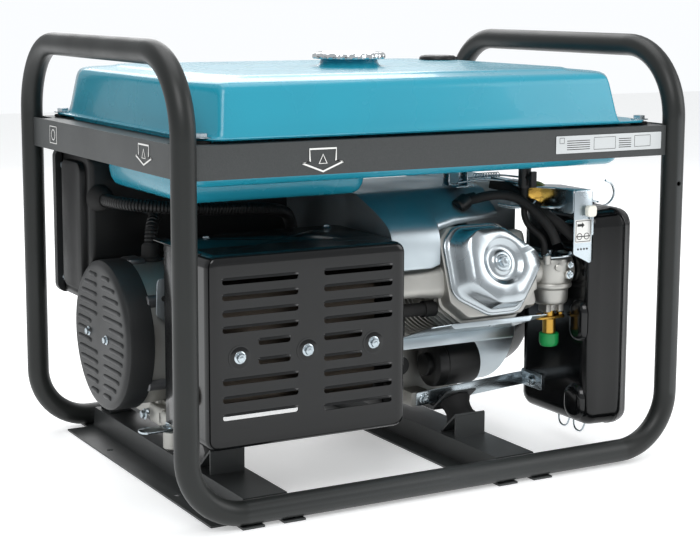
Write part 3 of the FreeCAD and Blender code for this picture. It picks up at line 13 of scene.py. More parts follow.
import bmesh
import bpy
from mathutils import Matrix, Vector


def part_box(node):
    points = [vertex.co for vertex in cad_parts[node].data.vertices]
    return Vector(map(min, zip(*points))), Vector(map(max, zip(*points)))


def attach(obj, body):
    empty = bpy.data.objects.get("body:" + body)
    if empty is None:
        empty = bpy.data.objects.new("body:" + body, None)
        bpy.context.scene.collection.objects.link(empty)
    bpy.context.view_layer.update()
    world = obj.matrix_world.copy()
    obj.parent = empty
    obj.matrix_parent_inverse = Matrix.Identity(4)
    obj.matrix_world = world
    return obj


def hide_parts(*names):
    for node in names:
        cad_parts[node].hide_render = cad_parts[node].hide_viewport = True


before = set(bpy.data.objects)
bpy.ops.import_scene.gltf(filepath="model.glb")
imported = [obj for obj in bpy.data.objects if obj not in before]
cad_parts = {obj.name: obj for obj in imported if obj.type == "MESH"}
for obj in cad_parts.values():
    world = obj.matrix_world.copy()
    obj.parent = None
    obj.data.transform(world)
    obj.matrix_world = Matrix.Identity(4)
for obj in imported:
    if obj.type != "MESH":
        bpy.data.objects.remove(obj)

logging.basicConfig(level=logging.INFO, format="%(name)s: %(message)s")
LOG = logging.getLogger("generator")

MM = 0.001
SHAFT = Vector((0.0, 45.0, 168.0))
CYLINDER_TILT = 20.0
EAST = Vector((1.0, 0.0, 0.0))
NORTH = Vector((0.0, 1.0, 0.0))
UP = Vector((0.0, 0.0, 1.0))


# ------------------------------------------------------------------ materials

def colour(text: str) -> tuple[float, float, float, float]:
    """Turn an sRGB hex colour into the linear values that a shader wants.

    Args:
        text: six hex digits after a hash sign.

    Returns:
        Linear red, green, blue and an alpha of one.
    """
    parts = [int(text[i:i + 2], 16) / 255 for i in (1, 3, 5)]
    linear = [c / 12.92 if c <= 0.04045 else ((c + 0.055) / 1.055) ** 2.4 for c in parts]
    return (*linear, 1.0)


def add_node(tree: bpy.types.NodeTree, kind: str, inputs: dict | None = None,
             **settings: object) -> bpy.types.Node:
    """Add a node, set its options, and set or link its inputs.

    Args:
        tree: the node tree.
        kind: the node's type name.
        inputs: input name or index to a value, or to the output socket that feeds it.
        settings: the node's own options.

    Returns:
        The new node.
    """
    node = tree.nodes.new(kind)
    for option, setting in settings.items():
        setattr(node, option, setting)
    for key, source in (inputs or {}).items():
        if isinstance(source, bpy.types.NodeSocket):
            tree.links.new(source, node.inputs[key])
        else:
            node.inputs[key].default_value = source
    return node


class Surface(Enum):
    """How light leaves a surface."""

    PAINT = "paint"
    METAL = "metal"
    MOULDING = "moulding"
    CLEAR = "clear"


@dataclass(frozen=True)
class Finish:
    """One real finish: its colours, how rough it is, and the size and depth of its grain.

    Args:
        title: the material's name.
        surface: what kind of surface it is.
        base: main colour as hex.
        shade: second colour that drifts through the main one.
        roughness: mean roughness.
        drift: how far roughness wanders.
        grain: grain size in cells per metre.
        depth: bump depth in metres.
        coat: strength of a clear top coat.
        stretch: how much the grain is drawn out along X, Y and Z.
        worn: how much edges are rubbed lighter.
    """

    title: str
    surface: Surface
    base: str
    shade: str
    roughness: float
    drift: float = 0.08
    grain: float = 900.0
    depth: float = 0.00002
    coat: float = 0.0
    stretch: tuple[float, float, float] = (1.0, 1.0, 1.0)
    worn: float = 0.0

    @lru_cache(maxsize=None)
    def material(self) -> bpy.types.Material:
        """Build the node material once and hand out the same one after that.

        Returns:
            The material.
        """
        made = bpy.data.materials.new(self.title)
        made.use_nodes = True
        tree = made.node_tree
        tree.nodes.clear()
        place = add_node(tree, "ShaderNodeTexCoord")
        scaled = add_node(tree, "ShaderNodeMapping", {"Vector": place.outputs["Object"],
                                                      "Scale": self.stretch})
        cloud = add_node(tree, "ShaderNodeTexNoise", {"Vector": scaled.outputs[0], "Scale": 14.0,
                                                      "Detail": 4.0})
        fine = add_node(tree, "ShaderNodeTexNoise", {"Vector": scaled.outputs[0],
                                                     "Scale": self.grain, "Detail": 3.0, "Roughness": 0.6})
        mixed = add_node(tree, "ShaderNodeMix", {"Factor": cloud.outputs["Fac"], "A": colour(self.base),
                                                 "B": colour(self.shade)}, data_type="RGBA")
        tint = mixed.outputs["Result"]
        if self.worn > 0:
            edge = add_node(tree, "ShaderNodeNewGeometry")
            rub = add_node(tree, "ShaderNodeMapRange", {"Value": edge.outputs["Pointiness"],
                                                        "From Min": 0.52, "From Max": 0.62,
                                                        "To Max": self.worn})
            patch = add_node(tree, "ShaderNodeMath", {0: rub.outputs[0], 1: fine.outputs["Fac"]},
                             operation="MULTIPLY")
            lighter = add_node(tree, "ShaderNodeMix", {"Factor": patch.outputs[0], "A": tint,
                                                       "B": colour("#8c9092")}, data_type="RGBA")
            tint = lighter.outputs["Result"]
        rough = add_node(tree, "ShaderNodeMapRange", {"Value": cloud.outputs["Fac"],
                                                      "From Min": 0.25, "From Max": 0.75,
                                                      "To Min": max(self.roughness - self.drift,
                                                                    0.02), "To Max": self.roughness
                                                      + self.drift})
        bump = add_node(tree, "ShaderNodeBump", {"Height": fine.outputs["Fac"],
                                                 "Distance": self.depth, "Strength": 1.0})
        shader = add_node(tree, "ShaderNodeBsdfPrincipled", {"Base Color": tint,
                                                             "Roughness": rough.outputs[0],
                                                             "Normal": bump.outputs[0],
                                                             "Coat Weight": self.coat,
                                                             "Coat Roughness": 0.05})
        if self.surface is Surface.METAL:
            shader.inputs["Metallic"].default_value = 1.0
        if self.surface in (Surface.PAINT, Surface.MOULDING):
            shader.inputs["Specular IOR Level"].default_value = 0.38
        if self.surface is Surface.CLEAR:
            shader.inputs["Transmission Weight"].default_value = 1.0
        add_node(tree, "ShaderNodeOutputMaterial", {"Surface": shader.outputs[0]})
        return made


FRAME_PAINT = Finish("frame_satin_paint", Surface.PAINT, "#1b1e1d", "#151716", 0.40, 0.06, 1600,
                     0.00003, worn=0.25)
RAIL_PAINT = Finish("rail_satin_paint", Surface.PAINT, "#1e2120", "#191b1a", 0.44, 0.06, 1600, 0.00003,
                    worn=0.25)
TANK_PAINT = Finish("tank_turquoise_enamel", Surface.PAINT, "#2693aa", "#228aa1", 0.27, 0.05, 700,
                    0.00001, coat=0.25)
GLOSS_BLACK = Finish("gloss_black_enamel", Surface.PAINT, "#090a0b", "#060708", 0.15, 0.05, 260,
                     0.00001, worn=0.05)
ZINC = Finish("bright_zinc_sheet", Surface.METAL, "#c4cdd2", "#aab6bd", 0.24, 0.10, 420, 0.00002)
GALVANISED = Finish("galvanised_sheet", Surface.METAL, "#c6cfd4", "#adb8be", 0.36, 0.10, 160, 0.00003)
PRESSED_STEEL = Finish("bright_pressed_cover", Surface.METAL, "#b9c0c4", "#a7afb4", 0.24, 0.07, 520,
                       0.00002)
CHROME = Finish("polished_chrome", Surface.METAL, "#e2e4e5", "#d2d6d8", 0.06, 0.03, 300, 0.000002)
CAST = Finish("sand_cast_alloy", Surface.METAL, "#bdbcb7", "#a3a29e", 0.48, 0.10, 1100, 0.00012)
DARK_CAST = Finish("dark_cast_alloy", Surface.METAL, "#77787a", "#606163", 0.50, 0.10, 1100, 0.00012)
YELLOW_ZINC = Finish("yellow_passivated_zinc", Surface.METAL, "#c9a452", "#b58b3f", 0.26, 0.08, 500,
                     0.00002)
HOT_STEEL = Finish("heat_toned_steel", Surface.METAL, "#6d645a", "#4d4640", 0.45, 0.12, 400, 0.00005)
IRON = Finish("machined_iron", Surface.METAL, "#5b5c5d", "#474849", 0.42, 0.08, 900, 0.00005)
LAMINATION = Finish("varnished_laminations", Surface.METAL, "#6f6a63", "#55514c", 0.5, 0.08, 2500,
                    0.00008, stretch=(6.0, 0.3, 0.3))
BLACK_PLASTIC = Finish("black_moulding", Surface.MOULDING, "#111213", "#0d0e0e", 0.42, 0.07, 2200, 0.00004)
GREY_MOULDING = Finish("charcoal_moulding", Surface.MOULDING, "#1c1e1f", "#171819", 0.42, 0.07,
                       2200, 0.00004)
SOCKET_GREY = Finish("socket_grey_moulding", Surface.MOULDING, "#6c7175", "#62676b", 0.40, 0.05,
                     1800, 0.00003)
WHITE_PLASTIC = Finish("ivory_moulding", Surface.MOULDING, "#ecebe0", "#e2e1d5", 0.35, 0.05, 1500, 0.00002)
GREEN_PLASTIC = Finish("green_moulding", Surface.MOULDING, "#12924a", "#0d7f3f", 0.35, 0.06, 1500, 0.00003)
RED_PLASTIC = Finish("red_moulding", Surface.MOULDING, "#b0281f", "#9c2019", 0.35, 0.06, 1500, 0.00003)
RUBBER = Finish("matt_rubber", Surface.MOULDING, "#161616", "#101010", 0.72, 0.08, 1500, 0.00006)
FOAM = Finish("filter_foam", Surface.MOULDING, "#2b2b2b", "#1d1d1d", 0.9, 0.05, 700, 0.0006)
LABEL_WHITE = Finish("printed_white", Surface.PAINT, "#e9e9e6", "#dededb", 0.35, 0.04, 1200, 0.00001)
LABEL_SILVER = Finish("silvered_foil", Surface.PAINT, "#c9cccd", "#bcc0c1", 0.34, 0.06, 1200, 0.00001)
# Black for real print, and also for flat patches of painted shade in the stay's slot and the recoil cover's
# vents.
BLACK_PRINT_AND_SHADE = Finish("black_print_and_painted_shade", Surface.PAINT, "#1b1b1b", "#151515", 0.4, 0.04, 1200, 0.00001)
LENS = Finish("clear_lens", Surface.CLEAR, "#f4f8f8", "#eef4f4", 0.03, 0.01, 200, 0.000001)


# ------------------------------------------------------------------ outlines and forms

def rounded(corners: list[tuple[float, float]], radii: float | list[float], steps: int = 6) -> list:
    """Round the corners of a counter-clockwise outline.

    Args:
        corners: the sharp corners.
        radii: one radius for all corners, or one for each.
        steps: points on each rounded corner.

    Returns:
        The points of the rounded outline.
    """
    count = len(corners)
    sizes = radii if isinstance(radii, list) else [radii] * count
    outline = []
    for index, corner in enumerate(corners):
        here = Vector(corner)
        back = (Vector(corners[index - 1]) - here)
        ahead = (Vector(corners[(index + 1) % count]) - here)
        half = back.angle(ahead) / 2
        reach = min(sizes[index] / math.tan(half), 0.49 * min(back.length, ahead.length))
        radius = reach * math.tan(half)
        middle = here + (back.normalized() + ahead.normalized()).normalized() * radius / math.sin(half)
        start = here + back.normalized() * reach - middle
        sweep = math.pi - 2 * half
        turning = 1 if back.normalized().cross(ahead.normalized()) < 0 else -1
        for step in range(steps):
            turn = Matrix.Rotation(turning * sweep * step / (steps - 1), 2)
            outline.append(tuple(middle + turn @ start))
    return outline


def rect(low: tuple[float, float], high: tuple[float, float], radius: float, steps: int = 6) -> list:
    """A rounded rectangle between two corners, counter-clockwise."""
    return rounded([low, (high[0], low[1]), high, (low[0], high[1])], radius, steps)


def shrunk(low: tuple[float, float], high: tuple[float, float], radius: float, depth: float) -> list:
    """A rounded rectangle drawn in by a depth, with corners that stay round.

    Args:
        low: corner with the smaller values.
        high: corner with the larger values.
        radius: corner radius before it is drawn in.
        depth: how far it is drawn in.

    Returns:
        The points of the outline.
    """
    return rect((low[0] + depth, low[1] + depth), (high[0] - depth, high[1] - depth),
                max(radius - depth, 4.0), 9)


def circle(centre: tuple[float, float], radius: float, sides: int = 32) -> list:
    """A round outline.

    Args:
        centre: its middle.
        radius: its radius.
        sides: how many points it has.

    Returns:
        The points of the outline.
    """
    turns = [2 * math.pi * i / sides for i in range(sides)]
    return [(centre[0] + radius * math.cos(a), centre[1] + radius * math.sin(a)) for a in turns]


def inset(outline: list, depth: float) -> list:
    """Move every point of a counter-clockwise outline inwards.

    Args:
        outline: the points.
        depth: how far to move them, in millimetres; outwards where negative.

    Returns:
        The moved points.
    """
    moved = []
    count = len(outline)
    for index, point in enumerate(outline):
        along = Vector(outline[(index + 1) % count]) - Vector(outline[index - 1])
        normal = Vector((-along.y, along.x)).normalized()
        moved.append(tuple(Vector(point) + normal * depth))
    return moved


def around(outline: list, middle: tuple[float, float], count: int = 96) -> list:
    """The same outline with its points at even angles about a middle, so that two outlines can be matched.

    Args:
        outline: any outline that the middle can see all of.
        middle: the point that the angles are measured from.
        count: how many points to return.

    Returns:
        The new outline, counter-clockwise, starting towards the first axis.
    """
    centre = Vector(middle)
    even = []
    for step in range(count):
        angle = 2 * math.pi * step / count
        way = Vector((math.cos(angle), math.sin(angle)))
        reach = 0.0
        for a, b in zip(outline, outline[1:] + outline[:1]):
            start, side = Vector(a) - centre, Vector(b) - Vector(a)
            cross = way.cross(side)
            if abs(cross) > 1e-9:
                out, along = start.cross(side) / cross, start.cross(way) / cross
                if out > 0 and -1e-6 <= along <= 1 + 1e-6:
                    reach = max(reach, out)
        even.append(tuple(centre + way * reach))
    return even


def onto(plane: str, outline: list, level: float) -> list[Vector]:
    """Stand a flat outline in space on the plane named by its two axes.

    Args:
        plane: XY, XZ or YZ.
        outline: the flat points.
        level: the place along the third axis.

    Returns:
        The points in space.
    """
    if plane == "XY":
        return [Vector((u, v, level)) for u, v in outline]
    if plane == "XZ":
        return [Vector((u, level, v)) for u, v in outline]
    return [Vector((level, u, v)) for u, v in outline]


@dataclass
class Form:
    """A mesh in the making."""

    verts: list[Vector] = field(default_factory=list)
    faces: list[tuple[int, ...]] = field(default_factory=list)

    def add(self, verts: list, faces: list) -> "Form":
        """Append points and the faces between them.

        Args:
            verts: points to add.
            faces: faces as indices into those points.

        Returns:
            This form.
        """
        start = len(self.verts)
        self.verts += [Vector(v) for v in verts]
        self.faces += [tuple(i + start for i in face) for face in faces]
        return self

    def loft(self, rings: list, caps: tuple[bool, bool] = (True, True), closed: bool = True) -> "Form":
        """Skin a row of rings that all have the same number of points.

        Args:
            rings: the rings, in order.
            caps: whether the first and last rings are filled.
            closed: whether each ring joins up with itself.

        Returns:
            This form.
        """
        count = len(rings[0])
        faces = []
        for row in range(len(rings) - 1):
            for i in range(count if closed else count - 1):
                j = (i + 1) % count
                faces.append((row * count + i, row * count + j, (row + 1) * count + j, (row + 1) * count
                              + i))
        if caps[0]:
            faces.append(tuple(reversed(range(count))))
        if caps[1]:
            faces.append(tuple((len(rings) - 1) * count + i for i in range(count)))
        return self.add([point for ring in rings for point in ring], faces)

    def slab(self, plane: str, outline: list, low: float, high: float, soft: float = 0.6) -> "Form":
        """Thicken an outline between two levels, with softened edges.

        Args:
            plane: XY, XZ or YZ.
            outline: the counter-clockwise points.
            low: the lower level.
            high: the upper level.
            soft: how far the edges are eased.

        Returns:
            This form.
        """
        soft = min(soft, (high - low) / 2.1)
        near = inset(outline, soft * 0.3)
        far = inset(outline, soft)
        steps = [(far, low), (near, low + soft * 0.3), (outline, low + soft), (outline, high - soft),
                 (near, high - soft * 0.3), (far, high)]
        return self.loft([onto(plane, shape, level) for shape, level in steps])

    def block(self, low: tuple, high: tuple, soft: float = 1.0) -> "Form":
        """A block with softened edges all round."""
        return self.slab("XY", rect(low[:2], high[:2], soft, 3), low[2], high[2], soft)

    def lathe(self, profile: list, centre: Vector, way: Vector, sides: int = 40) -> "Form":
        """Turn a profile of radius and height about a line through a point.

        Args:
            profile: pairs of radius and height.
            centre: the point where the height is zero.
            way: the direction of the line.
            sides: how many steps make a full turn.

        Returns:
            This form.
        """
        way = Vector(way).normalized()
        across = way.orthogonal().normalized()
        other = way.cross(across)
        rings = []
        for radius, height in profile:
            turns = [2 * math.pi * i / sides for i in range(sides)]
            rings.append([Vector(centre) + way * height + (across * math.cos(a) + other * math.sin(a))
                          * max(radius, 0.01) for a in turns])
        return self.loft(rings)

    def rod(self, start: tuple, end: tuple, radius: float, soft: float = 0.5, sides: int = 24) -> "Form":
        """A round bar between two points with softened ends.

        Args:
            start: one end.
            end: the other end.
            radius: its radius.
            soft: how far its ends are eased.
            sides: how many sides it has.

        Returns:
            This form.
        """
        way = Vector(end) - Vector(start)
        soft = min(soft, way.length / 3, radius / 2)
        profile = [(radius - soft, 0), (radius, soft), (radius, way.length - soft),
                   (radius - soft, way.length)]
        return self.lathe(profile, Vector(start), way, sides)

    def sweep(self, path: list, radius: float, sides: int = 12) -> "Form":
        """A round wire along a path of points, its cross-section carried without twist.

        Args:
            path: the points it passes near.
            radius: its radius.
            sides: how many sides it has.

        Returns:
            This form.
        """
        points = smooth_path([Vector(p) for p in path])
        way = (points[1] - points[0]).normalized()
        across = way.orthogonal().normalized()
        rings = []
        for index, point in enumerate(points):
            ahead = points[min(index + 1, len(points) - 1)] - points[max(index - 1, 0)]
            across = (across - across.project(ahead)).normalized()
            other = ahead.normalized().cross(across)
            rings.append([point + (across * math.cos(a) + other * math.sin(a)) * radius
                          for a in (2 * math.pi * i / sides for i in range(sides))])
        return self.loft(rings)

    def moved(self, matrix: Matrix) -> "Form":
        """The same form carried by a matrix."""
        return Form([matrix @ v for v in self.verts], list(self.faces))

    def join(self, other: "Form") -> "Form":
        """Take in another form."""
        return self.add(other.verts, other.faces)

    def mesh(self, name: str, crease: float = 32.0) -> bpy.types.Mesh:
        """Make the Blender mesh in metres, with hard edges where faces turn sharply.

        Args:
            name: the mesh's name.
            crease: faces that turn by more than this many degrees meet in a hard edge.

        Returns:
            The new mesh.
        """
        made = bpy.data.meshes.new(name)
        work = bmesh.new()
        points = [work.verts.new(v * MM) for v in self.verts]
        for face in self.faces:
            if len(set(face)) == len(face):
                work.faces.new([points[i] for i in face])
        bmesh.ops.remove_doubles(work, verts=work.verts, dist=0.000004)
        bmesh.ops.recalc_face_normals(work, faces=work.faces)
        for face in work.faces:
            face.smooth = True
        for edge in work.edges:
            edge.smooth = len(edge.link_faces) == 2 and edge.calc_face_angle(0) < math.radians(crease)
        work.to_mesh(made)
        work.free()
        return made


def crisp(mesh: bpy.types.Mesh, crease: float = 32.0, broad: float = 0.0008) -> None:
    """Keep broad faces flat and sharpen the edges where a cut mesh turns sharply.

    Args:
        mesh: the mesh after a cut.
        crease: faces that turn by more than this many degrees meet in a hard edge.
        broad: faces with more than this area, in square metres, are shaded flat.
    """
    work = bmesh.new()
    work.from_mesh(mesh)
    for face in work.faces:
        face.smooth = face.calc_area() < broad
    for edge in work.edges:
        edge.smooth = len(edge.link_faces) == 2 and edge.calc_face_angle(0) < math.radians(crease)
    work.to_mesh(mesh)
    work.free()


def smooth_path(points: list[Vector], rounds: int = 3) -> list[Vector]:
    """Soften the corners of a path by cutting them again and again.

    Args:
        points: the path.
        rounds: how many times each corner is cut.

    Returns:
        The softened path, with the same two ends.
    """
    for _ in range(rounds if len(points) > 2 else 0):
        cut = [points[0]]
        for a, b in zip(points, points[1:]):
            cut += [a * 0.75 + b * 0.25, a * 0.25 + b * 0.75]
        points = cut + [points[-1]]
    return points


def cylinder_frame() -> Matrix:
    """From the cylinder's own axes to the machine's: local z runs out along the cylinder."""
    return Matrix.Translation(SHAFT) @ Matrix.Rotation(math.radians(90 - CYLINDER_TILT), 4, "X")


def fit(name: str, shape: Form | bpy.types.Mesh, finish: Finish, body: str = "machine",
        stands_for: tuple[str, ...] = (), crease: float = 32.0) -> bpy.types.Object:
    """Make a finished piece that rides on a body.

    Args:
        name: the piece's name.
        shape: its form, or a mesh that is already made.
        finish: its finish.
        body: the CAD body it rides on.
        stands_for: CAD nodes that it replaces.
        crease: faces that turn by more than this many degrees meet in a hard edge.

    Returns:
        The new object.
    """
    data = shape.mesh(name, crease) if isinstance(shape, Form) else shape
    data.materials.clear()
    data.materials.append(finish.material())
    made = bpy.data.objects.new(name, data)
    bpy.context.scene.collection.objects.link(made)
    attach(made, body)
    if stands_for:
        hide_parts(*stands_for)
    LOG.info("%s on %s, %d faces%s", name, body, len(data.polygons), f", for {', '.join(stands_for)}"
             if stands_for else "")
    return made


def dress(finish: Finish, *nodes: str) -> None:
    """Give CAD nodes that stay on show their finish.

    Args:
        finish: the finish.
        nodes: names of the nodes.
    """
    for node in nodes:
        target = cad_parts[node]
        for place in target.material_slots:
            place.material = finish.material()
        if not target.material_slots:
            target.data.materials.append(finish.material())
        LOG.info("%s keeps its form, finish %s", node, finish.title)


# ------------------------------------------------------------------ patterns made with Geometry Nodes

@dataclass
class Spot:
    """Where one copy of a repeated piece goes."""

    at: Vector
    turn: tuple[float, float, float] = (0.0, 0.0, 0.0)
    size: tuple[float, float, float] = (1.0, 1.0, 1.0)


def new_group(title: str) -> bpy.types.GeometryNodeTree:
    """An empty geometry group that takes and gives geometry.

    Args:
        title: the group's name.

    Returns:
        The new group.
    """
    tree = bpy.data.node_groups.new(title, "GeometryNodeTree")
    tree.interface.new_socket("Geometry", in_out="INPUT", socket_type="NodeSocketGeometry")
    tree.interface.new_socket("Geometry", in_out="OUTPUT", socket_type="NodeSocketGeometry")
    return tree


def settle(holder: bpy.types.Object, name: str) -> bpy.types.Mesh:
    """Take the evaluated mesh of a helper object and remove the helper.

    Args:
        holder: the helper object.
        name: the name the mesh gets.

    Returns:
        The plain mesh.
    """
    graph = bpy.context.evaluated_depsgraph_get()
    made = bpy.data.meshes.new_from_object(holder.evaluated_get(graph), depsgraph=graph)
    made.name = name
    holder.modifiers.clear()
    bpy.data.objects.remove(holder)
    return made


def repeated(name: str, template: Form, spots: list[Spot], finish: Finish) -> bpy.types.Mesh:
    """Copy a template to many places and return one plain mesh.

    Args:
        name: the mesh's name.
        template: the piece to copy, drawn round the origin.
        spots: place, turn and size of each copy.
        finish: the finish set on all copies.

    Returns:
        The plain mesh.
    """
    tree = new_group(name + "_pattern")
    taken = add_node(tree, "NodeGroupInput")
    source = bpy.data.objects.new(name + "_template", template.mesh(name + "_template"))
    copy = add_node(tree, "GeometryNodeObjectInfo", {"Object": source})
    turn = add_node(tree, "GeometryNodeInputNamedAttribute", {"Name": "turn"}, data_type="FLOAT_VECTOR")
    size = add_node(tree, "GeometryNodeInputNamedAttribute", {"Name": "size"}, data_type="FLOAT_VECTOR")
    angles = add_node(tree, "FunctionNodeEulerToRotation", {0: turn.outputs[0]})
    spread = add_node(tree, "GeometryNodeInstanceOnPoints", {"Points": taken.outputs[0],
                                                             "Instance": copy.outputs["Geometry"],
                                                             "Rotation": angles.outputs[0],
                                                             "Scale": size.outputs[0]})
    real = add_node(tree, "GeometryNodeRealizeInstances", {0: spread.outputs[0]})
    painted = add_node(tree, "GeometryNodeSetMaterial", {0: real.outputs[0], "Material": finish.material()})
    add_node(tree, "NodeGroupOutput", {0: painted.outputs[0]})
    points = bpy.data.meshes.new(name + "_points")
    points.from_pydata([spot.at * MM for spot in spots], [], [])
    for title in ("turn", "size"):
        layer = points.attributes.new(title, "FLOAT_VECTOR", "POINT")
        for index, spot in enumerate(spots):
            layer.data[index].vector = getattr(spot, title)
    holder = bpy.data.objects.new(name + "_holder", points)
    bpy.context.scene.collection.objects.link(holder)
    holder.modifiers.new("pattern", "NODES").node_group = tree
    made = settle(holder, name)
    bpy.data.objects.remove(source)
    return made


def fit_copies(name: str, template: Form, spots: list[Spot], finish: Finish,
               stands_for: tuple[str, ...] = ()) -> None:
    """Make one fixed piece from many copies of a small form.

    Args:
        name: the piece's name.
        template: the form to copy, drawn round the origin.
        spots: place, turn and size of each copy.
        finish: the finish on all copies.
        stands_for: CAD nodes that it replaces.
    """
    fit(name, repeated(name, template, spots, finish), finish, stands_for=stands_for)


def corrugated(name: str, path: list, radius: float, pitch: float, finish: Finish) -> bpy.types.Mesh:
    """A ribbed conduit: a plain tube with a ring at every pitch along a smooth path.

    Args:
        name: the mesh's name.
        path: the route's points.
        radius: radius over the ribs.
        pitch: distance from rib to rib.
        finish: the finish on tube and ribs.

    Returns:
        The plain mesh.
    """
    tree = new_group(name + "_pattern")
    sockets = {}
    for title, start in (("Pitch", pitch * MM), ("Radius", radius * MM)):
        sockets[title] = tree.interface.new_socket(title, in_out="INPUT", socket_type="NodeSocketFloat")
        sockets[title].default_value = start
    taken = add_node(tree, "NodeGroupInput")
    curve = taken.outputs["Geometry"]
    resampled = add_node(tree, "GeometryNodeResampleCurve", {"Curve": curve,
                                                             "Length": taken.outputs["Pitch"]},
                         mode="LENGTH")
    ring = bpy.data.objects.new(name + "_ring", Form().lathe([(0.86, -0.28), (1.0, -0.16), (1.0, 0.16),
                                                              (0.86, 0.28)], Vector(), UP, 20).mesh("ring"))
    rib = add_node(tree, "GeometryNodeObjectInfo", {"Object": ring})
    scaled = add_node(tree, "ShaderNodeMath", {0: taken.outputs["Radius"], 1: 1000.0}, operation="MULTIPLY")
    tangent = add_node(tree, "GeometryNodeInputTangent")
    aligned = add_node(tree, "FunctionNodeAlignRotationToVector", {"Vector": tangent.outputs[0]}, axis="Z")
    spread = add_node(tree, "GeometryNodeInstanceOnPoints", {"Points": resampled.outputs[0],
                                                             "Instance": rib.outputs["Geometry"],
                                                             "Rotation": aligned.outputs[0],
                                                             "Scale": scaled.outputs[0]})
    real = add_node(tree, "GeometryNodeRealizeInstances", {0: spread.outputs[0]})
    thin = add_node(tree, "ShaderNodeMath", {0: taken.outputs["Radius"], 1: 0.86}, operation="MULTIPLY")
    section = add_node(tree, "GeometryNodeCurvePrimitiveCircle", {"Resolution": 20,
                                                                  "Radius": thin.outputs[0]})
    tube = add_node(tree, "GeometryNodeCurveToMesh", {"Curve": curve,
                                                      "Profile Curve": section.outputs[0],
                                                      "Fill Caps": True})
    joined = add_node(tree, "GeometryNodeJoinGeometry", {0: real.outputs[0]})
    tree.links.new(tube.outputs[0], joined.inputs[0])
    painted = add_node(tree, "GeometryNodeSetMaterial", {0: joined.outputs[0],
                                                         "Material": finish.material()})
    add_node(tree, "NodeGroupOutput", {0: painted.outputs[0]})
    line = bpy.data.curves.new(name + "_line", "CURVE")
    line.dimensions = "3D"
    line.resolution_u = 16
    spline = line.splines.new("NURBS")
    spline.points.add(len(path) - 1)
    for place, point in zip(spline.points, path):
        place.co = (*(Vector(point) * MM), 1.0)
    spline.order_u = 3
    spline.use_endpoint_u = True
    holder = bpy.data.objects.new(name + "_holder", line)
    bpy.context.scene.collection.objects.link(holder)
    pattern = holder.modifiers.new("pattern", "NODES")
    pattern.node_group = tree
    pattern[sockets["Pitch"].identifier] = pitch * MM
    pattern[sockets["Radius"].identifier] = radius * MM
    made = settle(holder, name)
    bpy.data.objects.remove(ring)
    return made


def hexagon_bolt(across: float, shank: float = 0.0) -> Form:
    """A flanged hexagon head that stands on its seat at the origin, pointing along +Z.

    Args:
        across: width over the flats.
        shank: length of shank below the seat, or none.

    Returns:
        The bolt as a form.
    """
    form = Form().lathe([(across * 0.78, 0), (across * 0.8, 0.5), (across * 0.72, 1.2),
                         (across * 0.5, 1.6)], Vector(), UP, 28)
    head = rounded(circle((0, 0), across * 0.577, 6), 0.4, 3)
    form.slab("XY", head, 1.2, across * 0.55, 0.5)
    form.lathe([(across * 0.38, across * 0.5), (across * 0.38, across * 0.57),
                (across * 0.3, across * 0.57), (across * 0.28, across * 0.5)], Vector(), UP, 20)
    if shank > 0:
        form.rod((0, 0, -shank), (0, 0, 0.2), across * 0.3, 0.3, 16)
    return form


FACING = {"+Z": (0.0, 0.0, 0.0), "-Y": (math.pi / 2, 0.0, 0.0),
          "+Y": (-math.pi / 2, 0.0, 0.0), "-X": (0.0, -math.pi / 2, 0.0), "+X": (0.0, math.pi / 2, 0.0)}


# ------------------------------------------------------------------ sub-assemblies

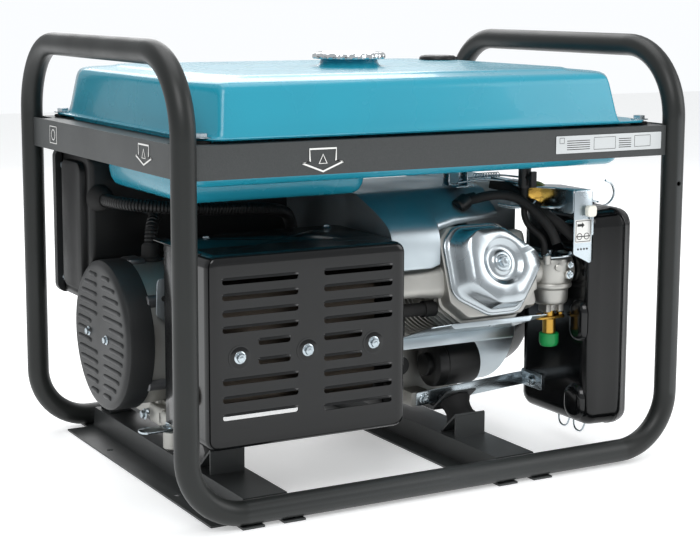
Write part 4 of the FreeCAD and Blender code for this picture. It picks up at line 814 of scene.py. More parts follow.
@dataclass
class TubeFrame:
    """Bent tube loops, tank rails, cross members and rubber mounts."""

    rail_face: float = -249.0
    end_face: float = -334.0

    def build(self) -> None:
        """Make this assembly's finished pieces."""
        self.arrow("rail_arrow", "XZ", (-166.0, 404.0), 1.0, self.rail_face)
        self.arrow("end_arrow", "YZ", (-144.0, 408.0), 0.9, self.end_face)
        self.plate()
        self.end_mark()
        self.rubber_mounts()

    def arrow(self, name: str, plane: str, centre: tuple, scale: float, face: float) -> None:
        """A white outlined arrow pointing down, with a plain triangle inside it.

        Args:
            name: the piece's name.
            plane: XZ or YZ.
            centre: its middle on that plane.
            scale: its size against 52 millimetres across.
            face: the level of the surface it is printed on.
        """
        x, z = centre
        shape = [(0, -14), (26, -4), (17, -1), (17, 13), (-17, 13), (-17, -1), (-26, -4)]
        outer = [(x + u * scale, z + v * scale) for u, v in shape]
        inner = inset(outer, 2.0)
        white = Form().loft([onto(plane, outer, face), onto(plane, outer, face - 0.15),
                             onto(plane, inner, face - 0.15), onto(plane, inner, face)], (False, False))
        triangle = [(x - 5.5, z - 4.5), (x + 5.5, z - 4.5), (x, z + 6.5)]
        white.loft([onto(plane, triangle, face), onto(plane, triangle, face - 0.15),
                    onto(plane, inset(triangle, 1.4), face - 0.15),
                    onto(plane, inset(triangle, 1.4), face)], (False, False))
        fit(name, white, LABEL_WHITE)

    def plate(self) -> None:
        """A foil data plate with blank fields."""
        face = self.rail_face
        foil = Form().slab("XZ", rect((149, 396), (309, 417), 1.0, 3), face - 0.4, face, 0.1)
        fit("data_plate", foil, LABEL_SILVER)
        lines = Form()
        for low, high in (((205, 399), (238, 414)), ((267, 400), (292, 414)), ((154, 408), (161, 415))):
            outline = rect(low, high, 0.6, 3)
            lines.loft([onto("XZ", outline, face - 0.4), onto("XZ", outline, face - 0.5),
                        onto("XZ", inset(outline, 0.5), face - 0.5)], (False, False))
        for row in range(5):
            level = 400 + row * 2.6
            lines.block((165, face - 0.5, level), (199, face - 0.38, level + 0.9), 0.05)
            lines.block((243, face - 0.5, level), (262, face - 0.38, level + 0.9), 0.05)
        fit("data_plate_fields", lines, BLACK_PRINT_AND_SHADE)

    def end_mark(self) -> None:
        """A small framed mark on the left rail."""
        outline = rect((142, 396), (168, 418), 0.6, 3)
        mark = Form().loft([onto("YZ", outline, self.end_face), onto("YZ", outline, self.end_face
                                                                     - 0.15),
                            onto("YZ", inset(outline, 1.0), self.end_face - 0.15)], (False, False))
        mark.loft([onto("YZ", circle((155, 407), 7), self.end_face),
                   onto("YZ", circle((155, 407), 7), self.end_face - 0.15),
                   onto("YZ", circle((155, 407), 5.8), self.end_face - 0.15)], (False, False))
        fit("end_rail_mark", mark, LABEL_WHITE)

    def rubber_mounts(self) -> None:
        """Waisted rubber blocks, one under each corner of the machine."""
        profile = [(18.5, -15), (20, -14), (20, -11), (17.6, -7), (16.8, 0), (17.6, 7), (20, 11),
                   (20, 14), (18.5, 15)]
        blocks = Form()
        for across in (-230.0, 110.0):
            for side in (-1, 1):
                lean = math.radians(40 * side)
                way = Vector((0, -math.sin(lean), math.cos(lean)))
                blocks.lathe(profile, Vector((across, 45.0 + side * 150.0, 55.6)), way, 40)
        fit("rubber_blocks", blocks, RUBBER, stands_for=("rubber_mounts",))

    def dress(self) -> None:
        """Give the CAD nodes that stay on show their finish."""
        dress(FRAME_PAINT, "frame_loop_left", "frame_loop_right", "cross_members")
        dress(RAIL_PAINT, "tank_rails")
        dress(FRAME_PAINT, "support_brackets")
        dress(ZINC, "hex_bolts")


@dataclass
class FuelTank:
    """Pressed two-part tank with its filler, gauge and tap."""

    left: float = -300.0
    right: float = 290.0
    side: float = 238.0
    cap_at: tuple[float, float] = (0.0, -10.0)
    gauge_at: tuple[float, float] = (214.0, 118.0)

    LOBES = 18
    RING_POINTS = 144

    def outline(self, lean_x: float, lean_y: float) -> list:
        """The tank's plan with its cut corners, drawn in by a lean on each side.

        Args:
            lean_x: how far each end is drawn in.
            lean_y: how far each side is drawn in.

        Returns:
            The points of the plan.
        """
        left, right, side = self.left + lean_x, self.right - lean_x, self.side - lean_y
        corners = [(left, -side + 50), (left + 16, -side), (right - 38, -side), (right, -side + 50),
                   (right, side - 50), (right - 38, side), (left + 16, side), (left, side - 50)]
        return rounded(corners, [34, 9, 9, 34, 34, 9, 9, 34], 7)

    def flange(self, depth: float) -> list:
        """The plan of the seam flange.

        Args:
            depth: how far it is drawn in.

        Returns:
            The points of the plan.
        """
        x, y, snip = 306 - depth, 240 - depth, 20
        corners = [(-x, -y + snip), (-x + snip, -y), (x - snip, -y), (x, -y + snip), (x, y - snip),
                   (x - snip, y), (-x + snip, y), (-x, y - snip)]
        return rounded(corners, 8, 7)

    def build(self) -> None:
        """Make this assembly's finished pieces."""
        self.top_shell()
        self.tub()
        self.filler()
        self.gauge()
        self.corner_bolts()

    def top_shell(self) -> None:
        """Upper pressing: seam flange, leaning walls, soft shoulder and a raised panel."""
        rings = [onto("XY", self.flange(3.0), 429.2), onto("XY", self.flange(0.6), 429.2),
                 onto("XY", self.flange(0.0), 429.8), onto("XY", self.flange(0.5), 430.4),
                 onto("XY", self.outline(-3.0, 0.4), 430.4), onto("XY", self.outline(-1.2, 0.8), 430.9)]
        for lean_x, lean_y, level in ((0.2, 1.8, 433.0), (2.0, 4.0, 440.0), (7.0, 12.5, 476.0),
                                      (8.4, 14.6, 482.0), (10.6, 17.2, 486.0), (14.5, 21.5, 488.4),
                                      (20.0, 27.0, 489.5), (44.0, 46.0, 491.6), (47.0, 48.5, 492.3),
                                      (50.0, 51.0, 493.4), (60.0, 60.0, 493.9), (110.0, 90.0, 494.0)):
            rings.append(onto("XY", self.outline(lean_x, lean_y), level))
        fit("tank_upper_pressing", Form().loft(rings, (False, True)), TANK_PAINT,
            stands_for=("tank_upper_shell",), crease=50)

    def tub(self) -> None:
        """Lower pressing: a shallow tub, a deeper one behind it and the sump."""
        form = Form().loft([onto("XY", self.flange(d), z) for d, z in ((8.0, 429.1), (0.6, 429.1),
                                                                       (0.0, 428.6), (0.6, 428.0),
                                                                       (8.0, 428.0))], (True, True))
        tubs = (((-298, -199), (298, 199), 392.0), ((-298, -199), (298, 112), 372.0),
                ((-288, -140), (-40, 105), 347.0))
        for low, high, floor in tubs:
            base = rect(low, high, 26, 8)
            steps = [(0, 428.2), (0.5, floor + 22), (2.5, floor + 12), (6.5, floor + 5),
                     (12, floor + 1.4), (18, floor)]
            form.loft([onto("XY", inset(base, d), z) for d, z in steps])
        fit("tank_lower_pressing", form, TANK_PAINT,
            stands_for=("tank_lower_shell",), crease=50)

    def filler(self) -> None:
        """Filler neck and a knurled, polished cap."""
        x, y = self.cap_at
        neck = [(43, 493.2), (41, 494.4), (38.5, 496), (36.6, 498.5), (36, 501), (35.6, 502.6), (34, 503),
                (29.5, 503), (28.8, 502), (28.8, 493)]
        fit("filler_neck", Form().lathe(neck, Vector((x, y, 0)), UP, 64), TANK_PAINT)
        rings = [self.lobed_ring(40, 0, 503.3), self.lobed_ring(45.2, 1.4, 503.3),
                 self.lobed_ring(46.6, 2.2, 504.2), self.lobed_ring(46.8, 2.6, 506.5),
                 self.lobed_ring(46.4, 2.6, 509.0), self.lobed_ring(44.6, 1.6, 510.6),
                 self.lobed_ring(41.5, 0.4, 511.4), self.lobed_ring(37.0, 0, 511.8),
                 self.lobed_ring(34.0, 0, 511.6), self.lobed_ring(32.6, 0, 510.4),
                 self.lobed_ring(20.0, 0, 510.2), self.lobed_ring(4.0, 0, 510.2)]
        fit("filler_cap", Form().loft(rings), CHROME, body="cap",
            stands_for=("fuel_cap",), crease=40)

    def lobed_ring(self, radius: float, depth: float, level: float) -> list[Vector]:
        """One ring of the cap, waved by its lobes.

        Args:
            radius: radius at the top of a lobe.
            depth: how deep the wave goes.
            level: height of the ring.

        Returns:
            The points of the ring.
        """
        x, y = self.cap_at
        ring = []
        for step in range(self.RING_POINTS):
            angle = 2 * math.pi * step / self.RING_POINTS
            wave = math.cos(angle * self.LOBES)
            reach = radius - depth * (0.5 - 0.5 * math.copysign(abs(wave) ** 0.6, wave))
            ring.append(Vector((x + reach * math.cos(angle), y + reach * math.sin(angle), level)))
        return ring

    def gauge(self) -> None:
        """Fuel gauge pod with its face, scale and lens."""
        x, y = self.gauge_at
        pod = [(25.8, 494.0), (25.8, 496.5), (24.6, 498.6), (22.4, 499.8), (20.4, 499.9), (19.6, 499.2),
               (19.2, 497.2), (2, 497.2)]
        form = Form().lathe(pod, Vector((x, y, 0)), UP, 48)
        form.slab("XY", rounded([(x + 18, y - 9), (x + 31, y - 6), (x + 31, y + 6), (x + 18, y + 9)], 4,
                                5), 494.0, 497.5)
        fit("gauge_pod", form, BLACK_PLASTIC, stands_for=("fuel_gauge",))
        fit("gauge_face", Form().lathe([(18.8, 497.2), (18.8, 497.45), (1, 497.45)], Vector((x, y, 0)),
                                       UP, 40), LABEL_WHITE)
        ticks = Form()
        for count in range(9):
            angle = math.radians(-60 + 15 * count)
            turn = Matrix.Translation(Vector((x, y, 0))) @ Matrix.Rotation(angle, 4, "Z")
            ticks.join(Form().block((13.5, -0.4, 497.4), (17.5, 0.4, 497.6), 0.05).moved(turn))
        fit("gauge_scale", ticks, BLACK_PRINT_AND_SHADE)
        lens = [(19.1, 499.0), (19.1, 499.4), (15, 499.85), (8, 500.0), (1, 500.0)]
        fit("gauge_lens", Form().lathe(lens, Vector((x, y, 0)), UP, 40), LENS)

    def corner_bolts(self) -> None:
        """Rubber bushes and washers at the tank's four corners."""
        corners = [Vector((end * 298.0, far * 219.0, 0.0)) for end in (-1, 1) for far in (-1, 1)]
        bush = Form().lathe([(4.4, 424.6), (10, 424.6), (11, 425.2), (11, 427.3), (10, 427.9),
                             (4.4, 427.9)], Vector(), UP, 28)
        washer = Form().lathe([(4.4, 430.45), (11.4, 430.45), (11.6, 430.9), (11.2, 431.5),
                               (4.4, 431.5)], Vector(), UP, 32)
        spots = [Spot(corner) for corner in corners]
        fit_copies("tank_bushes", bush, spots, RUBBER, stands_for=("tank_bushings",))
        fit_copies("tank_washers", washer, spots, ZINC)

    def dress(self) -> None:
        """Give the CAD nodes that stay on show their finish."""
        dress(RUBBER, "fuel_cap_seal", "fuel_hose")
        dress(RED_PLASTIC, "gauge_needle")
        dress(BLACK_PLASTIC, "fuel_tap", "fuel_tap_lever")


@dataclass
class ExhaustBox:
    """Muffler behind a pressed, louvred heat shield."""

    low: tuple[float, float] = (-292.0, 80.0)
    high: tuple[float, float] = (-38.0, 300.0)
    face: float = -217.0
    corner: float = 13.0

    LEFT_ROWS = ((-227, 94, (271, 253.5, 235, 217, 158, 138, 118)), (-210, 40, (200, 178)))
    RIGHT_ROWS = ((-102, 90, (272, 253.5, 235, 216.5, 155, 135, 115)), (-122, 50, (197, 173)))
    BOLTS = (-253.0, -168.0, -82.0)
    BOLT_LEVEL = 185.0
    SLOT_HALF = 3.4
    LIP = 90.0

    def louvres(self) -> list[tuple[float, float, float]]:
        """Middle, length and level of every louvre."""
        return [(middle, length, level) for rows in (self.LEFT_ROWS, self.RIGHT_ROWS) for middle,
                length, levels in rows for level in levels]

    def build(self) -> None:
        """Make this assembly's finished pieces."""
        base = rect(self.low, self.high, self.corner, 8)
        steps = [(11, 0.0), (8, 0.2), (4.5, 0.9), (2, 2.4), (0.6, 5), (0, 9), (0, 60), (1.5, 60),
                 (1.5, 9), (2.2, 5.6), (3.6, 3.4), (5.6, 2.1), (8.6, 1.6), (11, 1.5)]
        form = Form().loft([onto("XZ", inset(base, d), self.face + y) for d, y in steps], (True, True))
        shield = fit("shield_pressing", form, GLOSS_BLACK, stands_for=("heat_shield",))
        self.cut_slots(shield)
        self.lips()
        self.roof()
        self.fasteners()

    def cut_slots(self, shield: bpy.types.Object) -> None:
        """Open the louvres with one cutter that is then taken away.

        Args:
            shield: the pressing to cut.
        """
        cutter = Form()
        for middle, length, level in self.louvres():
            outline = rect((middle - length / 2, level - self.SLOT_HALF),
                           (middle + length / 2, level + self.SLOT_HALF), 3.3, 6)
            cutter.loft([onto("XZ", outline, self.face - 6), onto("XZ", outline, self.face + 6)])
        for across in self.BOLTS:
            cutter.lathe([(3.6, -6), (3.6, 6)], Vector((across, self.face, self.BOLT_LEVEL)), NORTH, 24)
        tool = bpy.data.objects.new("slot_cutter", cutter.mesh("slot_cutter"))
        bpy.context.scene.collection.objects.link(tool)
        cut = shield.modifiers.new("slots", "BOOLEAN")
        cut.object = tool
        cut.operation = "DIFFERENCE"
        cut.solver = "EXACT"
        graph = bpy.context.evaluated_depsgraph_get()
        opened = bpy.data.meshes.new_from_object(shield.evaluated_get(graph), depsgraph=graph)
        shield.modifiers.clear()
        shield.data = opened
        bpy.data.objects.remove(tool)
        crisp(opened)

    def lips(self) -> None:
        """A pressed lip bulges out over each louvre."""
        section = [(0.0, 1.4), (-0.8, 1.2), (-1.5, 0.6), (-1.9, -0.4), (-1.4, -0.4), (-1.0, 0.2),
                   (-0.5, 0.5), (0.0, 0.6)]
        template = Form()
        rings = []
        for across, fade in ((-0.5, 0.05), (-0.485, 0.5), (-0.46, 0.85), (-0.43, 1.0), (0.43, 1.0),
                             (0.46, 0.85), (0.485, 0.5), (0.5, 0.05)):
            rings.append([Vector((across * self.LIP, y * fade, z * 1.6 * (0.4 + 0.6 * fade))) for y,
                          z in section])
        template.loft(rings)
        spots = [Spot(Vector((middle, self.face + 0.3, level + 2.6)),
                      size=((length + 2) / self.LIP, 1.0, 1.0)) for middle, length, level in self.louvres()]
        fit_copies("shield_lips", template, spots, GLOSS_BLACK)

    def roof(self) -> None:
        """The shield's top goes back over the muffler, stiffened by crossed ribs."""
        low, high = self.low, self.high
        roof = Form().slab("XY", rect((low[0] + 2, self.face + 30), (high[0] - 2, -52), 10, 6), high[1]
                           - 2.1, high[1] - 0.6, 0.5)
        for x0, y0, x1, y1 in ((-262, -196, -70, -72), (-262, -72, -70, -196)):
            roof.sweep([(x0, y0, high[1] - 1.6), (x1, y1, high[1] - 1.6)], 1.9, 12)
        for x in (low[0] + 0.8, high[0] - 2.3):
            roof.block((x, self.face + 50, low[1] + 8), (x + 1.5, -95, high[1] - 2), 0.5)
        fit("shield_roof", roof, GLOSS_BLACK)

    def fasteners(self) -> None:
        """The shield's bolts in their dishes and the two screws on its roof."""
        spots = [Spot(Vector((across, self.face + 0.1, self.BOLT_LEVEL)), FACING["-Y"])
                 for across in self.BOLTS]
        fit_copies("shield_bolts", hexagon_bolt(9.5, 16), spots, ZINC)
        dish = Form().lathe([(4, 0.6), (11, 0.8), (13, 0.0), (13.8, -0.2), (14.2, 0.3)], Vector(), UP, 40)
        rings = [Spot(Vector((across, self.face - 0.1, self.BOLT_LEVEL)), FACING["-Y"])
                 for across in self.BOLTS]
        fit_copies("shield_dishes", dish, rings, GLOSS_BLACK)
        screws = [Spot(Vector((-234, -86, 299.3)), FACING["+Z"], (0.7, 0.7, 0.55)),
                  Spot(Vector((-62, -66, 299.3)), FACING["+Z"], (0.7, 0.7, 0.55))]
        fit_copies("shield_roof_screws", hexagon_bolt(9.5), screws, ZINC)

    def dress(self) -> None:
        """Give the CAD nodes that stay on show their finish."""
        dress(HOT_STEEL, "muffler")


@dataclass
class Engine:
    """Tilted engine: castings, rocker cover, sheet shrouds, starter, fan and recoil."""

    COVER = ((39, -30), (86, -57), (130, -57), (169, -12), (169, 16), (118, 57), (58, 57), (39, 38))
    HEAD = ((37, -36), (60, -57), (138, -57), (169, -26), (169, 24), (126, 57), (52, 57), (37, 42))
    PAN = ((62, -20), (92, -46), (124, -46), (158, -6), (158, 12), (114, 46), (78, 46), (66, 36))

    def build(self) -> None:
        """Make this assembly's finished pieces."""
        self.head()
        self.rocker_cover()
        self.hood()
        self.tray()
        self.starter()
        self.recoil()
        self.case_cover()

    def head(self) -> None:
        """Cast head with ribs, and the port that the exhaust pipe is bolted to."""
        shape = rounded(list(self.HEAD), 9, 6)
        form = Form().slab("XY", shape, 175.0, 242.8, 3)
        for level in (180.0, 190.0, 200.0, 210.0, 220.0):
            form.slab("XY", inset(shape, -3.5), level, level + 3, 1.2)
        form.block((120, -50, 205), (169.5, 50, 236), 8)
        casting = form.moved(cylinder_frame())
        port = rounded([(-182, 220), (-124, 220), (-118, 246), (-132, 258), (-176, 256)], 12, 6)
        casting.loft([onto("YZ", inset(port, d), x) for x, d in ((-26, 7), (-24, 3), (-20, 1.5), (6, 1.0),
                                                                 (24, -1.0), (48, -4))])
        casting.slab("YZ", rounded([(-186, 226), (-114, 226), (-114, 250), (-186, 250)], 11, 6), -31, -24,
                     1)
        fit("head_casting", casting, CAST, stands_for=("cylinder_head",), crease=38)

    def rocker_cover(self) -> None:
        """Pressed cover with a raised pan and a round dish for its bolt."""
        middle = Vector((106.0, 4.0))
        flange = around(rounded(list(self.COVER), [26, 24, 24, 18, 18, 26, 26, 22], 9), middle)
        pan = around(rounded(list(self.PAN), [16, 14, 14, 12, 12, 14, 14, 14], 9), middle)
        rings = [onto("XY", inset(flange, 4), 243.1), onto("XY", inset(flange, 0.4), 243.1),
                 onto("XY", flange, 244.0), onto("XY", flange, 246.4),
                 onto("XY", inset(flange, 0.8), 247.4), onto("XY", inset(flange, 2.4), 247.8),
                 onto("XY", inset(flange, 5.2), 248.2), onto("XY", inset(flange, 7.0), 250.0)]
        for share, level in ((0.2, 254.0), (0.45, 261.0), (0.72, 267.0), (0.86, 268.9), (0.95, 269.7),
                             (1.0, 270.0)):
            start, end = inset(flange, 7.0), pan
            blended = [tuple(Vector(a) * (1 - share) + Vector(b) * share) for a, b in zip(start, end)]
            rings.append(onto("XY", blended, level))
        rings += [onto("XY", circle(middle, radius, len(pan)), level) for radius,
                  level in ((29.5, 269.9), (28.0, 269.4), (24.0, 265.6), (20.5, 264.4), (15.0, 264.4),
                            (12.8, 266.4), (11.8, 266.8), (3.0, 266.8))]
        form = Form().loft(rings).moved(cylinder_frame())
        fit("rocker_cover", form, PRESSED_STEEL, stands_for=("valve_cover",), crease=62)
        bolt = hexagon_bolt(12, 4).moved(cylinder_frame() @ Matrix.Translation(Vector((middle.x,
                                                                                       middle.y, 266.9))))
        bolt.join(Form().lathe([(4, 266.7), (10.6, 266.7), (11, 267.3), (4, 267.5)],
                               Vector((middle.x, middle.y, 0)), UP, 36).moved(cylinder_frame()))
        fit("rocker_cover_bolt", bolt, ZINC, stands_for=("flange_bolts",))

    def hood(self) -> None:
        """Galvanised hood over the cylinder, with a flared lip above the rocker cover."""
        sections = []
        for x, low, knee, near in ((-34, 259, 302, -180), (20, 259, 302, -180), (33, 262, 303, -178),
                                   (42, 300, 309, -158), (70, 305, 314, -152), (112, 306, 312, -138),
                                   (149, 306, 314, -128)):
            outline = [(near, low), (near, knee), (near + 26, knee + 17), (-96, 340), (-78, 343),
                       (94, 343), (94.5, 300)]
            sections.append([Vector((x, y, z)) for y, z in smooth_profile(outline)])
        form = Form()
        inner = [[Vector((v.x, v.y + 0.9, v.z - 1.1)) for v in section] for section in sections]
        rows = [a + b[::-1] for a, b in zip(sections, inner)]
        form.loft(rows)
        end = [(v.y, v.z) for v in sections[0]]
        form.loft([onto("YZ", end + [(94.5, 260), (-179, 260)], -35.0),
                   onto("YZ", end + [(94.5, 260), (-179, 260)], -33.5)])
        fit("cylinder_hood", form, GALVANISED, stands_for=("upper_shroud",), crease=40)

    def tray(self) -> None:
        """Folded deflector under the cylinder."""
        floor = Form()
        outline = rounded([(14, 152), (183, 150), (183, 234), (150, 238), (40, 238), (14, 226)], 5, 5)
        floor.slab("XZ", outline, -63.0, -61.5, 0.5)
        lip = Form().slab("XY", rect((14, -77), (183, -61.5), 3, 4), 149.5, 151.0, 0.5)
        front = Form().slab("XY", rounded([(40, -68), (150, -68), (158, -61.5), (34, -61.5)], 2, 4),
                            236.5, 238.0, 0.5)
        floor.join(lip).join(front)
        fit("lower_deflector", floor.moved(cylinder_frame()), GALVANISED,
            stands_for=("lower_shroud",))
        screw = hexagon_bolt(8).moved(cylinder_frame() @ Matrix.Translation(Vector((104, -63, 222)))
                                      @ Matrix.Rotation(math.pi / 2, 4, "X"))
        fit("deflector_screw", screw, ZINC)

    def starter(self) -> None:
        """Starter motor with rolled edges and a block along its side."""
        x, y, z = 84.0, -72.0, 112.0
        profile = [(8, -8), (14, -8), (15, -7), (15, -1), (26, 0), (29, 1.4), (30, 4), (30, 14),
                   (29.2, 15), (30, 16), (30, 58), (29, 62), (26, 64), (8, 64)]
        form = Form().lathe(profile, Vector((x, y, z)), EAST, 56)
        form.block((x + 10, y, z - 14), (138, -40, z + 14), 3)
        fit("starter_can", form, BLACK_PLASTIC, stands_for=("starter_motor",))

    def case_cover(self) -> None:
        """Rear case cover with ribs and bolts, and the bolts round the fan housing."""
        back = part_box("crankcase")[1].y / MM
        left, right, foot, top = 32.0, 150.0, 57.0, 250.0
        cover = Form().slab("XZ", rect((left + 5, foot + 6), (right - 5, top - 6), 16, 7), back, back
                            + 4, 1.4)
        for count in range(4):
            across = left + 25 + count * 22.5
            cover.slab("XZ", rect((across - 2, foot + 26), (across + 2, top - 30), 1.8, 5), back + 3, back
                       + 6.5, 1.2)
        fit("case_cover", cover, CAST)
        spots = [Spot(Vector((x, back + 4, z)), FACING["+Y"]) for x in (left + 14, (left + right) / 2,
                                                                        right - 14)
                 for z in (foot + 15, top - 15)]
        for degrees in (20, 75, 140, 220, 290):
            way = Vector((0, math.cos(math.radians(degrees)), math.sin(math.radians(degrees)))) * 104.5
            spots.append(Spot(Vector((225.1, SHAFT.y + way.y, SHAFT.z + way.z)), FACING["+X"], (0.75,) * 3))
        fit_copies("case_bolts", hexagon_bolt(10), spots, ZINC)

    def recoil(self) -> None:
        """Recoil cover with rolled edge, vents drawn as flat black patches of painted shade, and a ribbed
        grip.
        """
        profile = [(93, 0.2), (97, 0.2), (97, 2.6), (93.5, 3), (93, 6), (92.6, 32), (90, 38), (84, 41.4),
                   (74, 43), (60, 43), (56, 41), (40, 40.4), (22, 40.4), (18, 42.4), (6, 43)]
        cover = Form().lathe(profile, Vector((225.0, SHAFT.y, SHAFT.z)), EAST, 72)
        fit("recoil_cover", cover, GLOSS_BLACK, stands_for=("recoil_housing",))
        # Flat black patches on the cover's face stand for the shade inside the vent openings: painted
        # shade, not cut holes.
        vent_shade_patch = Form().slab("XY", rect((-3, -12), (3, 12), 2.9, 5), -0.4, 0.5, 0.2)
        spots = []
        for count in range(16):
            angle = 2 * math.pi * count / 16
            at = Vector((268.0, SHAFT.y - math.sin(angle) * 67, SHAFT.z + math.cos(angle) * 67))
            turn = (Matrix.Rotation(angle, 3, "X") @ Matrix.Rotation(math.pi / 2, 3, "Y")
                    @ Matrix.Rotation(math.pi / 2, 3, "Z"))
            spots.append(Spot(at, tuple(turn.to_euler())))
        fit_copies("recoil_vents", vent_shade_patch, spots, BLACK_PRINT_AND_SHADE)
        grip = [(7, -45), (10, -44.5), (12, -42), (12, -30)]
        for count in range(9):
            grip += [(12, -28 + count * 6.5), (10.8, -26.6 + count * 6.5), (10.8, -25 + count * 6.5),
                     (12, -23.6 + count * 6.5)]
        grip += [(12, 42), (10, 44.5), (7, 45)]
        form = Form().lathe(grip, Vector((240, 156, 217)), UP, 32)
        form.rod((240, 60, 217), (240, 152, 217), 2.5, 0.5, 12)
        form.lathe([(3, 0), (6, 1), (7, 6), (5, 9), (3, 10)], Vector((240, 137, 217)), NORTH, 24)
        fit("starter_grip", form, BLACK_PLASTIC, body="grip",
            stands_for=("recoil_handle",))

    def dress(self) -> None:
        """Give the CAD nodes that stay on show their finish."""
        dress(CAST, "crankcase", "piston_set")
        dress(IRON, "crankshaft", "flywheel_fan")
        dress(GALVANISED, "fan_housing")
        dress(BLACK_PLASTIC, "recoil_pulley", "oil_dipstick")
        dress(RUBBER, "spark_plug")


def smooth_profile(points: list[tuple[float, float]], rounds: int = 2) -> list[tuple[float, float]]:
    """Round the corners of an open profile."""
    return [(p.y, p.z) for p in smooth_path([Vector((0, y, z)) for y, z in points], rounds)]


